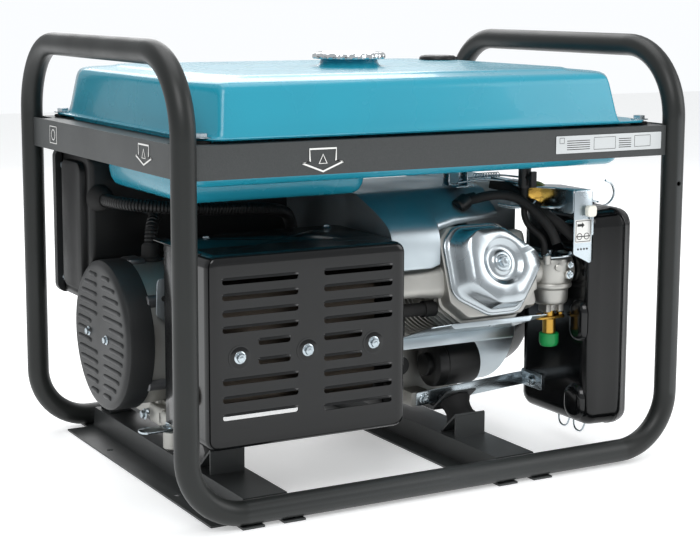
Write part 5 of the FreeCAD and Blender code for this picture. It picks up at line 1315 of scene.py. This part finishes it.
@dataclass
class Intake:
    """Carburettor, fuel valve, governor bracket, air cleaner and the hoses between them."""

    bowl: tuple[float, float] = (208.0, -163.0)

    def build(self) -> None:
        """Make this assembly's finished pieces."""
        self.carburettor()
        self.fuel_valve()
        self.control_plate()
        self.choke()
        self.linkage()
        self.air_box()
        self.clips()
        self.wires()
        self.strap()

    def carburettor(self) -> None:
        """Carburettor castings: throat, bowl, bosses, top plate and screws."""
        x, y = self.bowl
        form = Form().lathe([(8, 196.5), (19, 197), (21.5, 199), (22.6, 203), (23.2, 216), (26.6, 218.4),
                             (27.4, 220), (27.4, 223), (26.4, 224.4), (24, 225), (23.5, 229), (25.5, 234),
                             (26, 250), (24.5, 255), (20, 257.4), (8, 257.8)], Vector((x, y, 0)), UP, 56)
        form.rod((170, -160, 240), (186, -160, 240), 19, 1.5, 40)
        form.block((170.5, -182, 218), (175, -138, 262), 3)
        form.rod((226, -160, 240), (233.5, -160, 240), 22, 1.5, 40)
        form.rod((x - 6, y - 27, 246), (x - 6, y - 14, 246), 5, 0.8, 20)
        form.rod((x + 10, y - 28, 236), (x + 10, y - 14, 236), 6, 0.8, 20)
        form.rod((x + 12, y - 27, 248), (x + 12, y - 14, 248), 4.2, 0.8, 20)
        form.rod((x - 20, y - 20, 250), (x - 20, y - 20, 262), 5, 0.8, 20)
        form.block((x - 12, y - 10, 186), (x - 4, y + 8, 198), 1.5)
        form.block((x + 6, y - 12, 186), (x + 14, y + 4, 198), 1.5)
        fit("carb_castings", form, CAST, stands_for=("carburettor",), crease=40)
        plate = Form().slab("XY", rounded([(x - 24, y - 24), (x + 24, y - 24), (x + 24, y + 20),
                                           (x - 24, y + 20)], 10, 6), 257.8, 260.0, 0.5)
        fit("carb_top_plate", plate, ZINC)
        screws = [Spot(Vector((x + 10, y - 28, 236)), FACING["-Y"], (0.55,) * 3),
                  Spot(Vector((x + 12, y - 27, 248)), FACING["-Y"], (0.45,) * 3),
                  Spot(Vector((x - 18, y - 18, 260)), FACING["+Z"], (0.5,) * 3),
                  Spot(Vector((x + 18, y - 18, 260)), FACING["+Z"], (0.5,) * 3)]
        fit_copies("carb_screws", hexagon_bolt(12), screws, ZINC)

    def fuel_valve(self) -> None:
        """Fuel shut-off valve under the bowl: plated coil, flange and cap."""
        x, y = self.bowl
        gold = Form().lathe([(6, 152), (8.5, 152.6), (8.5, 176.4), (6, 177)], Vector((x, y, 0)), UP, 36)
        gold.slab("XY", rounded([(x - 21, y - 8), (x + 21, y - 8), (x + 21, y + 8), (x - 21, y + 8)], 6,
                                6), 177, 180, 0.6)
        gold.rod((x, y, 180), (x, y, 188), 6.5, 0.6, 28)
        gold.rod((x - 16, y, 180), (x - 16, y, 184), 4, 0.6, 6)
        gold.rod((x + 16, y, 180), (x + 16, y, 184), 4, 0.6, 6)
        fit("fuel_valve_coil", gold, YELLOW_ZINC, stands_for=("fuel_cut_solenoid",))
        cap = Form().lathe([(8.7, 158), (11.6, 158), (12.4, 157), (12.4, 146), (11.8, 144.4), (10.8, 142),
                            (9, 141), (2, 141)], Vector((x, y, 0)), UP, 36)
        fit("fuel_valve_cap", cap, GREEN_PLASTIC)
        stem = Form().lathe([(10, 188), (10, 196.6)], Vector((x, y, 0)), UP, 28)
        fit("fuel_valve_stem", stem, CAST)

    def control_plate(self) -> None:
        """Zinc bracket that carries the choke label, the knob and the vacuum can."""
        near = -215.5
        sheet = Form().slab("XZ", rounded([(204, 266), (232, 252), (232, 345), (204, 345)], 3, 4), near,
                            -214, 0.5)
        sheet.slab("XY", rounded([(204, -214), (232, -214), (232, -150), (190, -112), (176, -112),
                                  (176, -140), (204, -178)], 4, 4), 343.6, 345.2, 0.5)
        sheet.slab("YZ", rect((-214, 316), (-150, 345), 4, 4), 203.0, 204.5, 0.5)
        sheet.slab("YZ", rect((-150, 309), (-60, 345), 4, 4), 217.0, 218.5, 0.5)
        fit("control_sheet", sheet, ZINC, stands_for=("control_bracket",))
        can = [(4, 0), (10, 0.4), (13.5, 2), (15, 5), (15, 8), (16.2, 9), (16.2, 11), (15, 12), (15, 27),
               (12, 31), (5, 35)]
        turned = Form().lathe(can, Vector((196, -150, 334)), Vector((0.35, 1, 0)), 44)
        fit("vacuum_can", turned, YELLOW_ZINC)
        label = Form().slab("XZ", rect((205.5, 280), (230.5, 309), 1.2, 4), near - 0.3, near, 0.1)
        fit("choke_label", label, LABEL_WHITE)
        face = near - 0.42
        marks = Form()
        outline = rect((206.6, 281.2), (229.4, 307.8), 0.8, 3)
        marks.loft([onto("XZ", outline, near - 0.3), onto("XZ", outline, face),
                    onto("XZ", inset(outline, 0.8), face)], (False, False))
        arrow = [(209, 300.4), (216, 300.4), (216, 298.4), (220, 302), (216, 305.6), (216, 303.6),
                 (209, 303.6)]
        marks.loft([onto("XZ", arrow, near - 0.3), onto("XZ", arrow, face)])
        for x in (212.5, 223.5):
            ring = circle((x, 288), 4.2, 28)
            marks.loft([onto("XZ", ring, near - 0.3), onto("XZ", ring, face),
                        onto("XZ", inset(ring, 0.9), face)], (False, False))
        marks.block((207.6, face, 287.4), (228.4, near - 0.3, 288.6), 0.05)
        fit("choke_label_marks", marks, BLACK_PRINT_AND_SHADE)
        holes = [Spot(Vector((211 + 4.6 * count, near, 272)), FACING["-Y"], (0.14,) * 3)
                 for count in range(4)]
        fit_copies("control_rivets", hexagon_bolt(12), holes, IRON)

    def choke(self) -> None:
        """White choke knob on a thin steel arm."""
        knob = Form().slab("XZ", rect((217, 313), (231, 327), 4, 5), -226.4, -219.0, 1.6)
        fit("choke_knob", knob, WHITE_PLASTIC, body="choke",
            stands_for=("choke_lever",))
        arm = Form().slab("XZ", rect((228.6, 289), (231.6, 316), 1.4, 4), -218.9, -217.9, 0.3)
        fit("choke_arm", arm, ZINC, body="choke")

    def linkage(self) -> None:
        """Governor rods and springs, the breather hose and the fuel pipe over the engine."""
        rods = Form()
        rods.sweep([(110, -96, 348), (150, -100, 352), (186, -118, 346), (204, -130, 338)], 1.6, 10)
        rods.sweep([(120, -84, 350), (168, -92, 356), (200, -110, 352)], 1.2, 10)
        rods.sweep([(186, -172, 322), (190, -184, 322), (204, -186, 322)], 1.8, 10)
        rods.sweep([(150, -128, 322), (166, -140, 318), (184, -152, 322), (192, -150, 326)], 2.2, 10)
        rods.block((98, -112, 344), (124, -78, 345.5), 0.5)
        rods.block((122, -100, 345), (123.6, -80, 366), 0.5)
        rods.block((98, -94, 345), (99.6, -80, 360), 0.5)
        fit("governor_rods", rods, ZINC)
        spring = [(130 + 0.55 * step, -104 + 3.2 * math.cos(step * 0.9), 357 + 3.2
                   * math.sin(step * 0.9)) for step in range(70)]
        fit("governor_spring", Form().sweep(spring, 0.6, 6), ZINC)
        hoses = Form()
        hoses.sweep([(98, -128, 328), (140, -140, 338), (172, -150, 330), (196, -178, 296),
                     (200, -186, 276)], 6.0, 20)
        hoses.sweep([(160, -96, 346), (182, -118, 340), (196, -160, 312), (222, -180, 290),
                     (236, -176, 280)], 7.5, 20)
        fit("breather_hoses", hoses, RUBBER)
        lugs = Form()
        lugs.rod((86, -132, 322), (104, -126, 330), 10, 2, 28)
        lugs.rod((104, -126, 330), (116, -130, 333), 7.5, 1.5, 24)
        fit("breather_elbow", lugs, BLACK_PLASTIC)

    def air_box(self) -> None:
        """Moulded air cleaner: a deep base, a shallow cover and a rolled seam between them."""
        low, high, radius = (-215.0, 38.0), (-61.0, 318.0), 22.0
        steps = [(20, 234.2), (14, 234.8), (9, 236.6), (5.5, 239.8), (3.2, 244.0), (2.0, 250.0),
                 (1.4, 274.0), (0.0, 276.0), (0.0, 280.6), (1.2, 280.8)]
        form = Form().loft([onto("YZ", shrunk(low, high, radius, d), x) for d, x in steps])
        for y, z, tall, wide in ((-190, 176, 27, 17), (-186, 70, 24, 20), (-176, 282, 20, 28)):
            swell = rect((y - wide, z - tall), (y + wide, z + tall), min(wide, tall) - 1, 8)
            form.loft([onto("YZ", swell, 235.0), onto("YZ", inset(swell, 2), 230.5),
                       onto("YZ", inset(swell, 5.5), 228.4), onto("YZ", inset(swell, 9), 228.0)])
        fit("air_box_base", form, GLOSS_BLACK, stands_for=("air_filter_base",),
            crease=50)
        steps = [(1.2, 281.2), (0.0, 281.4), (0.0, 286.0), (1.4, 287.2), (1.8, 292.0), (3.6, 295.4),
                 (8, 297.4), (15, 298.0), (26, 298.0), (29, 296.4), (36, 296.0)]
        cover = Form().loft([onto("YZ", shrunk(low, high, radius, d), x) for d, x in steps])
        fit("air_box_cover", cover, GLOSS_BLACK, body="filter_cover",
            stands_for=("air_filter_cover",), crease=50)

    def clips(self) -> None:
        """Spring-wire clips that hold the cover."""
        for name, base, lift in (("upper", 318.0, 1), ("lower", 38.0, -1)):
            wire = Form()
            for y in (-150, -126):
                wire.sweep([(290, y, base + 1.8 * lift), (276, y, base + 3.4 * lift),
                            (264, y, base + 1.9 * lift), (262, y + (2 if y < -140 else -2), base + 2.4
                                                          * lift)], 1.1, 8)
            wire.sweep([(262.5, -148, base + 2.4 * lift), (261, -138, base + 2.4 * lift),
                        (262.5, -128, base + 2.4 * lift)], 1.1, 8)
            wire.rod((290, -153, base + 1.8 * lift), (290, -123, base + 1.8 * lift), 1.2, 0.3, 10)
            fit(f"wire_clip_{name}", wire, ZINC, body=f"clip_{name}",
                stands_for=(f"filter_clip_{name}",))

    def wires(self) -> None:
        """The hook that holds the fuel line and the two loops under the box."""
        wire = Form()
        wire.sweep([(291, -138, 321), (298, -138, 312), (316, -138, 312), (328, -138, 324),
                    (324, -138, 340), (312, -138, 345)], 1.5, 10)
        for y in (-132, -164):
            wire.sweep([(250, y, 40), (250, y - 2, 27), (250, y - 17, 26), (250, y - 24, 40)], 1.2, 8)
        fit("box_wires", wire, ZINC)

    def strap(self) -> None:
        """Bent zinc strap from the crankcase foot to the air box."""
        outline = rounded([(66, 58), (234, 69), (234, 87), (66, 76)], 2, 4)
        form = Form().slab("XZ", outline, -74.0, -71.5, 0.6)
        form.slab("YZ", rect((-117, 69), (-71.5, 91), 3, 5), 231.5, 234.0, 0.6)
        fit("box_strap", form, ZINC, stands_for=("filter_strap",))
        spots = [Spot(Vector((231.4, -97, 79)), FACING["-X"], (1.05,) * 3),
                 Spot(Vector((78, -74.1, 67)), FACING["-Y"])]
        fit_copies("strap_nuts", hexagon_bolt(9.5), spots, ZINC)

    def dress(self) -> None:
        """Give the CAD nodes that stay on show their finish."""
        dress(ZINC, "throttle_lever")
        dress(FOAM, "air_filter_element")


@dataclass
class Alternator:
    """Two-bearing alternator: louvred end cover, brackets, conduits."""

    face: float = field(default_factory=lambda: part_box("end_cover")[0].x / MM)

    LOUVRE = 40.0
    LOUVRE_PITCH = 12.2
    LOUVRE_RING = 82.0

    def build(self) -> None:
        """Make this assembly's finished pieces."""
        self.end_cover()
        self.hardware()
        self.conduits()

    def end_cover(self) -> None:
        """Round moulded cover with two columns of blind louvres."""
        profile = [(93, 33.9), (93, 8), (92.2, 4), (89.5, 1.4), (85, 0.3), (80, 0.0), (70, 0.0), (1, 0.0)]
        cover = Form().lathe(profile, Vector((self.face, SHAFT.y, SHAFT.z)), EAST, 96)
        fit("end_cover_shell", cover, GREY_MOULDING, stands_for=("end_cover",))
        template = Form()
        rings = []
        for along, fade in ((-0.5, 0.1), (-0.47, 0.6), (-0.42, 0.9), (-0.36, 1.0), (0.36, 1.0),
                            (0.42, 0.9), (0.47, 0.6), (0.5, 0.1)):
            section = [(0.4, 3.2), (-1.2, 3.0), (-2.0, 1.6), (-2.0, -0.6), (-0.9, -2.6), (0.4, -3.0)]
            rings.append([Vector((x * fade, along * self.LOUVRE, z * (0.5 + 0.5 * fade))) for x,
                          z in section])
        template.loft(rings)
        spots = []
        for row in range(-6, 7):
            level = row * self.LOUVRE_PITCH
            edge = math.sqrt(self.LOUVRE_RING ** 2 - level ** 2) - 4
            inner = 9.0 if abs(row) > 1 else 30.0
            for column in (-1, 1):
                length = edge - inner
                middle = SHAFT.y + column * (inner + length / 2)
                spots.append(Spot(Vector((self.face + 0.6, middle, SHAFT.z + level)),
                                  size=(1.35, length / self.LOUVRE, 1.0)))
        fit_copies("end_cover_louvres", template, spots, GREY_MOULDING)
        screws = [Spot(Vector((self.face - 0.2, y, z)), FACING["-X"], (0.85,) * 3) for y,
                  z in ((84, 167), (24, 166))]
        fit_copies("end_cover_screws", hexagon_bolt(9), screws, ZINC)

    def hardware(self) -> None:
        """Slotted zinc stay with a black patch of painted shade for its slot, cast foot, slotted bar and
        rear bracket screws round the end bracket.
        """
        stay = Form().slab("XZ", rounded([(-268, 105), (-238, 105), (-238, 250), (-281, 250), (-283, 206),
                                          (-268, 196)], 6, 5), -50.0, -48.0, 0.6)
        stay.rod((-258, -48.2, 225), (-258, -18, 225), 5, 0.6, 20)
        stay.rod((-254, -48.2, 130), (-254, -24, 130), 5, 0.6, 20)
        fit("slotted_stay", stay, GALVANISED)
        # A thin black patch stands for the shade seen through the stay's slot: painted shade, not a cut
        # slot.
        painted_slot_shade = Form().slab("XZ", rect((-276, 222), (-250, 229), 3.3, 6), -50.3, -49.8, 0.1)
        fit("stay_slot", painted_slot_shade, BLACK_PRINT_AND_SHADE)
        foot = Form()
        foot.block((-262, -12, 57), (-240, 30, 82), 4)
        foot.block((-258, 10, 76), (-244, 24, 100), 4)
        foot.rod((-255, -30, 34), (-255, -30, 60), 12, 3, 28)
        foot.block((-262, -42, 57), (-240, 0, 80), 5)
        fit("alternator_foot", foot, CAST)
        bar = Form().slab("XY", rounded([(-300, -44), (-236, -44), (-236, -18), (-300, -22)], 9, 6),
                          60.4, 63.4, 0.6)
        fit("slotted_bar", bar, ZINC)
        nuts = [Spot(Vector((-258, -31, 63.4)), FACING["+Z"], (1.2,) * 3),
                Spot(Vector((-252, 52, 60.4)), FACING["+Z"]), Spot(Vector((-267, 30, 66)), FACING["-X"],
                                                                   (0.9,) * 3),
                Spot(Vector((-288, 96, 236)), FACING["-X"], (0.8,) * 3)]
        fit_copies("alternator_nuts", hexagon_bolt(10), nuts, ZINC)
        ears = Form()
        for angle in (35, 145, 215, 325):
            way = Vector((0, math.cos(math.radians(angle)), math.sin(math.radians(angle))))
            at = SHAFT + way * 88
            ears.rod((-287, at.y, at.z), (-262, at.y, at.z), 8, 1.5, 24)
        ears.block((-286, 28, 250), (-262, 60, 262), 4)
        fit("bracket_ears", ears, DARK_CAST)
        bands = Form()
        for x in (-205, -140, -75):
            bands.lathe([(86.1, -4), (87.6, -3.4), (87.6, 3.4), (86.1, 4)],
                        Vector((x, SHAFT.y, SHAFT.z)), EAST, 72)
        fit("stator_bands", bands, DARK_CAST)

    def conduits(self) -> None:
        """Ribbed conduits and the rubber boots they come out of."""
        short = [(-250, 45, 264), (-250, 45, 300), (-226, 75, 312), (-226, 120, 312)]
        long = [(-288, 100, 328), (-288, 40, 328), (-198, 0, 322), (-90, 15, 316), (-52, 45, 298),
                (-52, 45, 256)]
        piece = corrugated("ribbed_conduit_long", long, 8.0, 4.2, BLACK_PLASTIC)
        fit("ribbed_conduit_long", piece, BLACK_PLASTIC, stands_for=("conduits",))
        piece = corrugated("ribbed_conduit_short", short, 8.0, 4.2, BLACK_PLASTIC)
        fit("ribbed_conduit_short", piece, BLACK_PLASTIC)
        boots = Form()
        boots.lathe([(17, 0), (17.5, 2), (16, 5), (13, 20), (9.5, 24), (8.8, 24)],
                    Vector((-288, 119.5, 328)), Vector((0, -1, 0)), 40)
        boots.lathe([(15, 0), (15, 3), (11.5, 5), (11, 18), (9, 21), (8, 21)], Vector((-250, 45, 257)),
                    UP, 36)
        fit("conduit_boots", boots, RUBBER)

    def dress(self) -> None:
        """Give the CAD nodes that stay on show their finish."""
        dress(DARK_CAST, "alternator_bell")
        dress(CAST, "end_bracket")
        dress(LAMINATION, "stator", "rotor")


@dataclass
class ControlBox:
    """Rear switch box with its panel, sockets, meter, breaker and key."""

    left: float = -308.0
    right: float = 28.0

    def build(self) -> None:
        """Make this assembly's finished pieces."""
        self.back_box()
        self.panel_parts()
        self.lids()
        self.key_and_toggle()

    def back_box(self) -> None:
        """Switch box with a raised panel on its end."""
        outline = rounded([(120, 252), (150, 192), (225, 192), (225, 384), (120, 384)],
                          [10, 12, 3, 3, 14], 6)
        steps = [(8, self.left + 8.2), (3, self.left + 9.2), (0.8, self.left + 11.6), (0, self.left + 16),
                 (0, self.right - 8), (0.8, self.right - 3.6), (3, self.right - 1.2), (8, self.right - 0.2)]
        form = Form().loft([onto("YZ", inset(outline, d), x) for d, x in steps])
        raised = rect((136, 206), (206, 372), 14, 7)
        form.loft([onto("YZ", raised, self.left + 12), onto("YZ", raised, self.left + 4),
                   onto("YZ", inset(raised, 1.2), self.left + 1.2),
                   onto("YZ", inset(raised, 4.5), self.left)])
        fit("switch_box", form, BLACK_PLASTIC, stands_for=("control_box",), crease=45)
        screw = [Spot(Vector((self.left + 8, 214, z)), FACING["-X"], (0.8,) * 3) for z in (214, 362)]
        fit_copies("switch_box_screws", hexagon_bolt(9), screw, ZINC)

    def panel_parts(self) -> None:
        """Rim, meter bezel, terminals and blank scales on the panel's face."""
        face = 236.0
        rim = rect((self.left + 1, 193), (self.right - 1, 383), 12, 8)
        form = Form().loft([onto("XZ", rim, face - 1), onto("XZ", rim, face + 1.8),
                            onto("XZ", inset(rim, 1), face + 2.6), onto("XZ", inset(rim, 5), face
                                                                        + 2.6),
                            onto("XZ", inset(rim, 6), face + 1.8), onto("XZ", inset(rim, 6), face - 1)],
                           (False, False))
        fit("panel_rim", form, GREY_MOULDING)
        meter = Vector((-116, face + 6.2, 347))
        fit("meter_bezel", Form().lathe([(26.2, -5), (26.2, 0.4), (24, 1.6), (21.6, 1.6), (21, 0.4)],
                                        meter, NORTH, 56), BLACK_PLASTIC)
        fit("meter_dial", Form().lathe([(20.8, 0), (20.8, 0.3), (1, 0.3)], meter, NORTH, 48),
            LABEL_WHITE)
        marks = Form()
        for count in range(11):
            angle = math.radians(-50 + 10 * count)
            turn = Matrix.Translation(meter + Vector((0, 0.3, -8))) @ Matrix.Rotation(angle, 4, "Y")
            marks.join(Form().block((-0.4, 0, 19), (0.4, 0.2, 23), 0.05).moved(turn))
        needle = Matrix.Translation(meter + Vector((0, 0.5, -8))) @ Matrix.Rotation(math.radians(-50),
                                                                                    4, "Y")
        marks.join(Form().block((-0.3, 0, 0), (0.3, 0.3, 21), 0.08).moved(needle))
        fit("meter_marks", marks, BLACK_PRINT_AND_SHADE)
        for name, x, finish in (("plus", -252, RED_PLASTIC), ("minus", -226, BLACK_PLASTIC)):
            knob = Form().lathe([(4, 0), (8, 0.5), (8, 8), (7, 10), (3, 10.4)],
                                Vector((x, face, 222)), NORTH, 24)
            fit(f"terminal_{name}", knob, finish)

    def lids(self) -> None:
        """Sprung socket lids with a rolled rim and a finger tab."""
        for name, x, radius in (("left", -150, 22), ("right", -82, 22), ("large", -8, 30)):
            z = 285.0
            lid = Form().lathe([(radius + 2, 0), (radius + 2, 1.8), (radius + 1, 2.8), (radius - 3, 3.0),
                                (radius - 5, 2.4), (2, 2.4)], Vector((x, 250.3, z)), NORTH, 56)
            lid.slab("XZ", rounded([(x - 7, z - radius - 5), (x + 7, z - radius - 5),
                                    (x + 8, z - radius + 3), (x - 8, z - radius + 3)], 2.5, 5), 250.4,
                     253.0, 0.6)
            lid.rod((x - 12, 252.7, z + radius + 3), (x + 12, 252.7, z + radius + 3), 2.3, 0.4, 16)
            lid.slab("XZ", rect((x - 9, z + radius - 3), (x + 9, z + radius + 3), 1.5, 4), 250.4, 253.2,
                     0.5)
            fit(f"socket_flap_{name}", lid, SOCKET_GREY, body=f"lid_{name}",
                stands_for=(f"socket_lid_{name}",))

    def key_and_toggle(self) -> None:
        """Key in its switch, and the breaker's lever."""
        key = Form().rod((-276, 227, 285), (-276, 246, 285), 3.8, 0.6, 20)
        key.slab("YZ", rounded([(245, 275), (256, 274), (259, 280), (259, 290), (256, 296), (245, 295)],
                               3, 5), -277.5, -274.5, 0.8)
        fit("key", key, ZINC, body="key", stands_for=("ignition_key",))
        lever = Form().slab("XZ", rect((-220.8, 280.2), (-215.2, 289.8), 1.2, 4), 237.2, 251.8, 1.0)
        fit("breaker_lever", lever, RED_PLASTIC, body="breaker",
            stands_for=("breaker_toggle",))

    def dress(self) -> None:
        """Give the CAD nodes that stay on show their finish."""
        dress(GREY_MOULDING, "control_panel")
        dress(SOCKET_GREY, "socket_bodies")


# ------------------------------------------------------------------ studio

@dataclass
class Studio:
    """Pale floor, soft lights and the camera, whose rise is a share of its picture's width."""

    yaw: float = 29.364
    pitch: float = 8.548
    roll: float = 0.214
    lens: float = 83.6295428571
    eye: tuple[float, float, float] = (-1010.61, -1810.89, 581.80)
    sensor: float = 36.0
    rise: float = 0.05

    AIM = (0.0, 0.0, 0.25)
    LAMPS = (("key", (-1.5, -2.2, 2.6), 1.6, 46), ("fill", (2.4, -1.6, 1.4), 1.8, 26),
             ("top", (0.1, 0.3, 2.8), 2.2, 36), ("back", (0.8, 2.4, 1.8), 1.8, 26))

    def build(self) -> None:
        """Make this assembly's finished pieces."""
        self.floor()
        self.camera()
        self.lights()

    def floor(self) -> None:
        """A broad pale floor that glows a little, as a lit sweep does."""
        made = bpy.data.meshes.new("floor")
        made.from_pydata([(-6, -6, 0), (6, -6, 0), (6, 6, 0), (-6, 6, 0)], [], [(0, 1, 2, 3)])
        pale = Finish("pale_floor", Surface.PAINT, "#f7f8f8", "#f3f4f4", 0.6, 0.03, 40, 0.00001).material()
        shader = next(node for node in pale.node_tree.nodes if node.type == "BSDF_PRINCIPLED")
        shader.inputs["Emission Color"].default_value = colour("#ffffff")
        shader.inputs["Emission Strength"].default_value = 0.34
        made.materials.append(pale)
        plane = bpy.data.objects.new("floor", made)
        bpy.context.scene.collection.objects.link(plane)

    def camera(self) -> None:
        """Aim the camera from its yaw, pitch and roll."""
        a, p, r = (math.radians(angle) for angle in (self.yaw, self.pitch, self.roll))
        forward = Vector((math.sin(a) * math.cos(p), math.cos(a) * math.cos(p), -math.sin(p)))
        right = Vector((math.cos(a), -math.sin(a), 0))
        up = right.cross(forward)
        right, up = right * math.cos(r) + up * math.sin(r), up * math.cos(r) - right * math.sin(r)
        data = bpy.data.cameras.new("camera")
        data.sensor_width = self.sensor
        data.lens = self.lens
        data.shift_y = -self.rise
        made = bpy.data.objects.new("camera", data)
        turn = Matrix((right, up, -forward)).transposed().to_4x4()
        made.matrix_world = Matrix.Translation(Vector(self.eye) * MM) @ turn
        bpy.context.scene.collection.objects.link(made)
        bpy.context.scene.camera = made

    def lights(self) -> None:
        """A pale world and four soft area lamps."""
        world = bpy.data.worlds.new("studio")
        world.use_nodes = True
        tree = world.node_tree
        tree.nodes.clear()
        ray = add_node(tree, "ShaderNodeLightPath")
        level = add_node(tree, "ShaderNodeMapRange", {"Value": ray.outputs["Is Camera Ray"],
                                                      "To Min": 0.62, "To Max": 1.05})
        sky = add_node(tree, "ShaderNodeBackground", {"Color": colour("#f6f8fa"),
                                                      "Strength": level.outputs[0]})
        add_node(tree, "ShaderNodeOutputWorld", {"Surface": sky.outputs[0]})
        bpy.context.scene.world = world
        bpy.context.scene.view_settings.view_transform = "Standard"
        for name, at, size, power in self.LAMPS:
            data = bpy.data.lights.new(name, "AREA")
            data.shape = "SQUARE"
            data.size = size
            data.energy = power
            lamp = bpy.data.objects.new(name, data)
            turn = (Vector(self.AIM) - Vector(at)).to_track_quat("-Z", "Y").to_matrix().to_4x4()
            lamp.matrix_world = Matrix.Translation(Vector(at)) @ turn
            bpy.context.scene.collection.objects.link(lamp)


def main() -> None:
    """Build every sub-assembly and dress the CAD nodes it keeps."""
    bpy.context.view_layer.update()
    Studio().build()
    for assembly in (TubeFrame(), FuelTank(), ExhaustBox(), Engine(), Intake(), Alternator(), ControlBox()):
        assembly.build()
        assembly.dress()


if __name__ == "__main__":
    main()
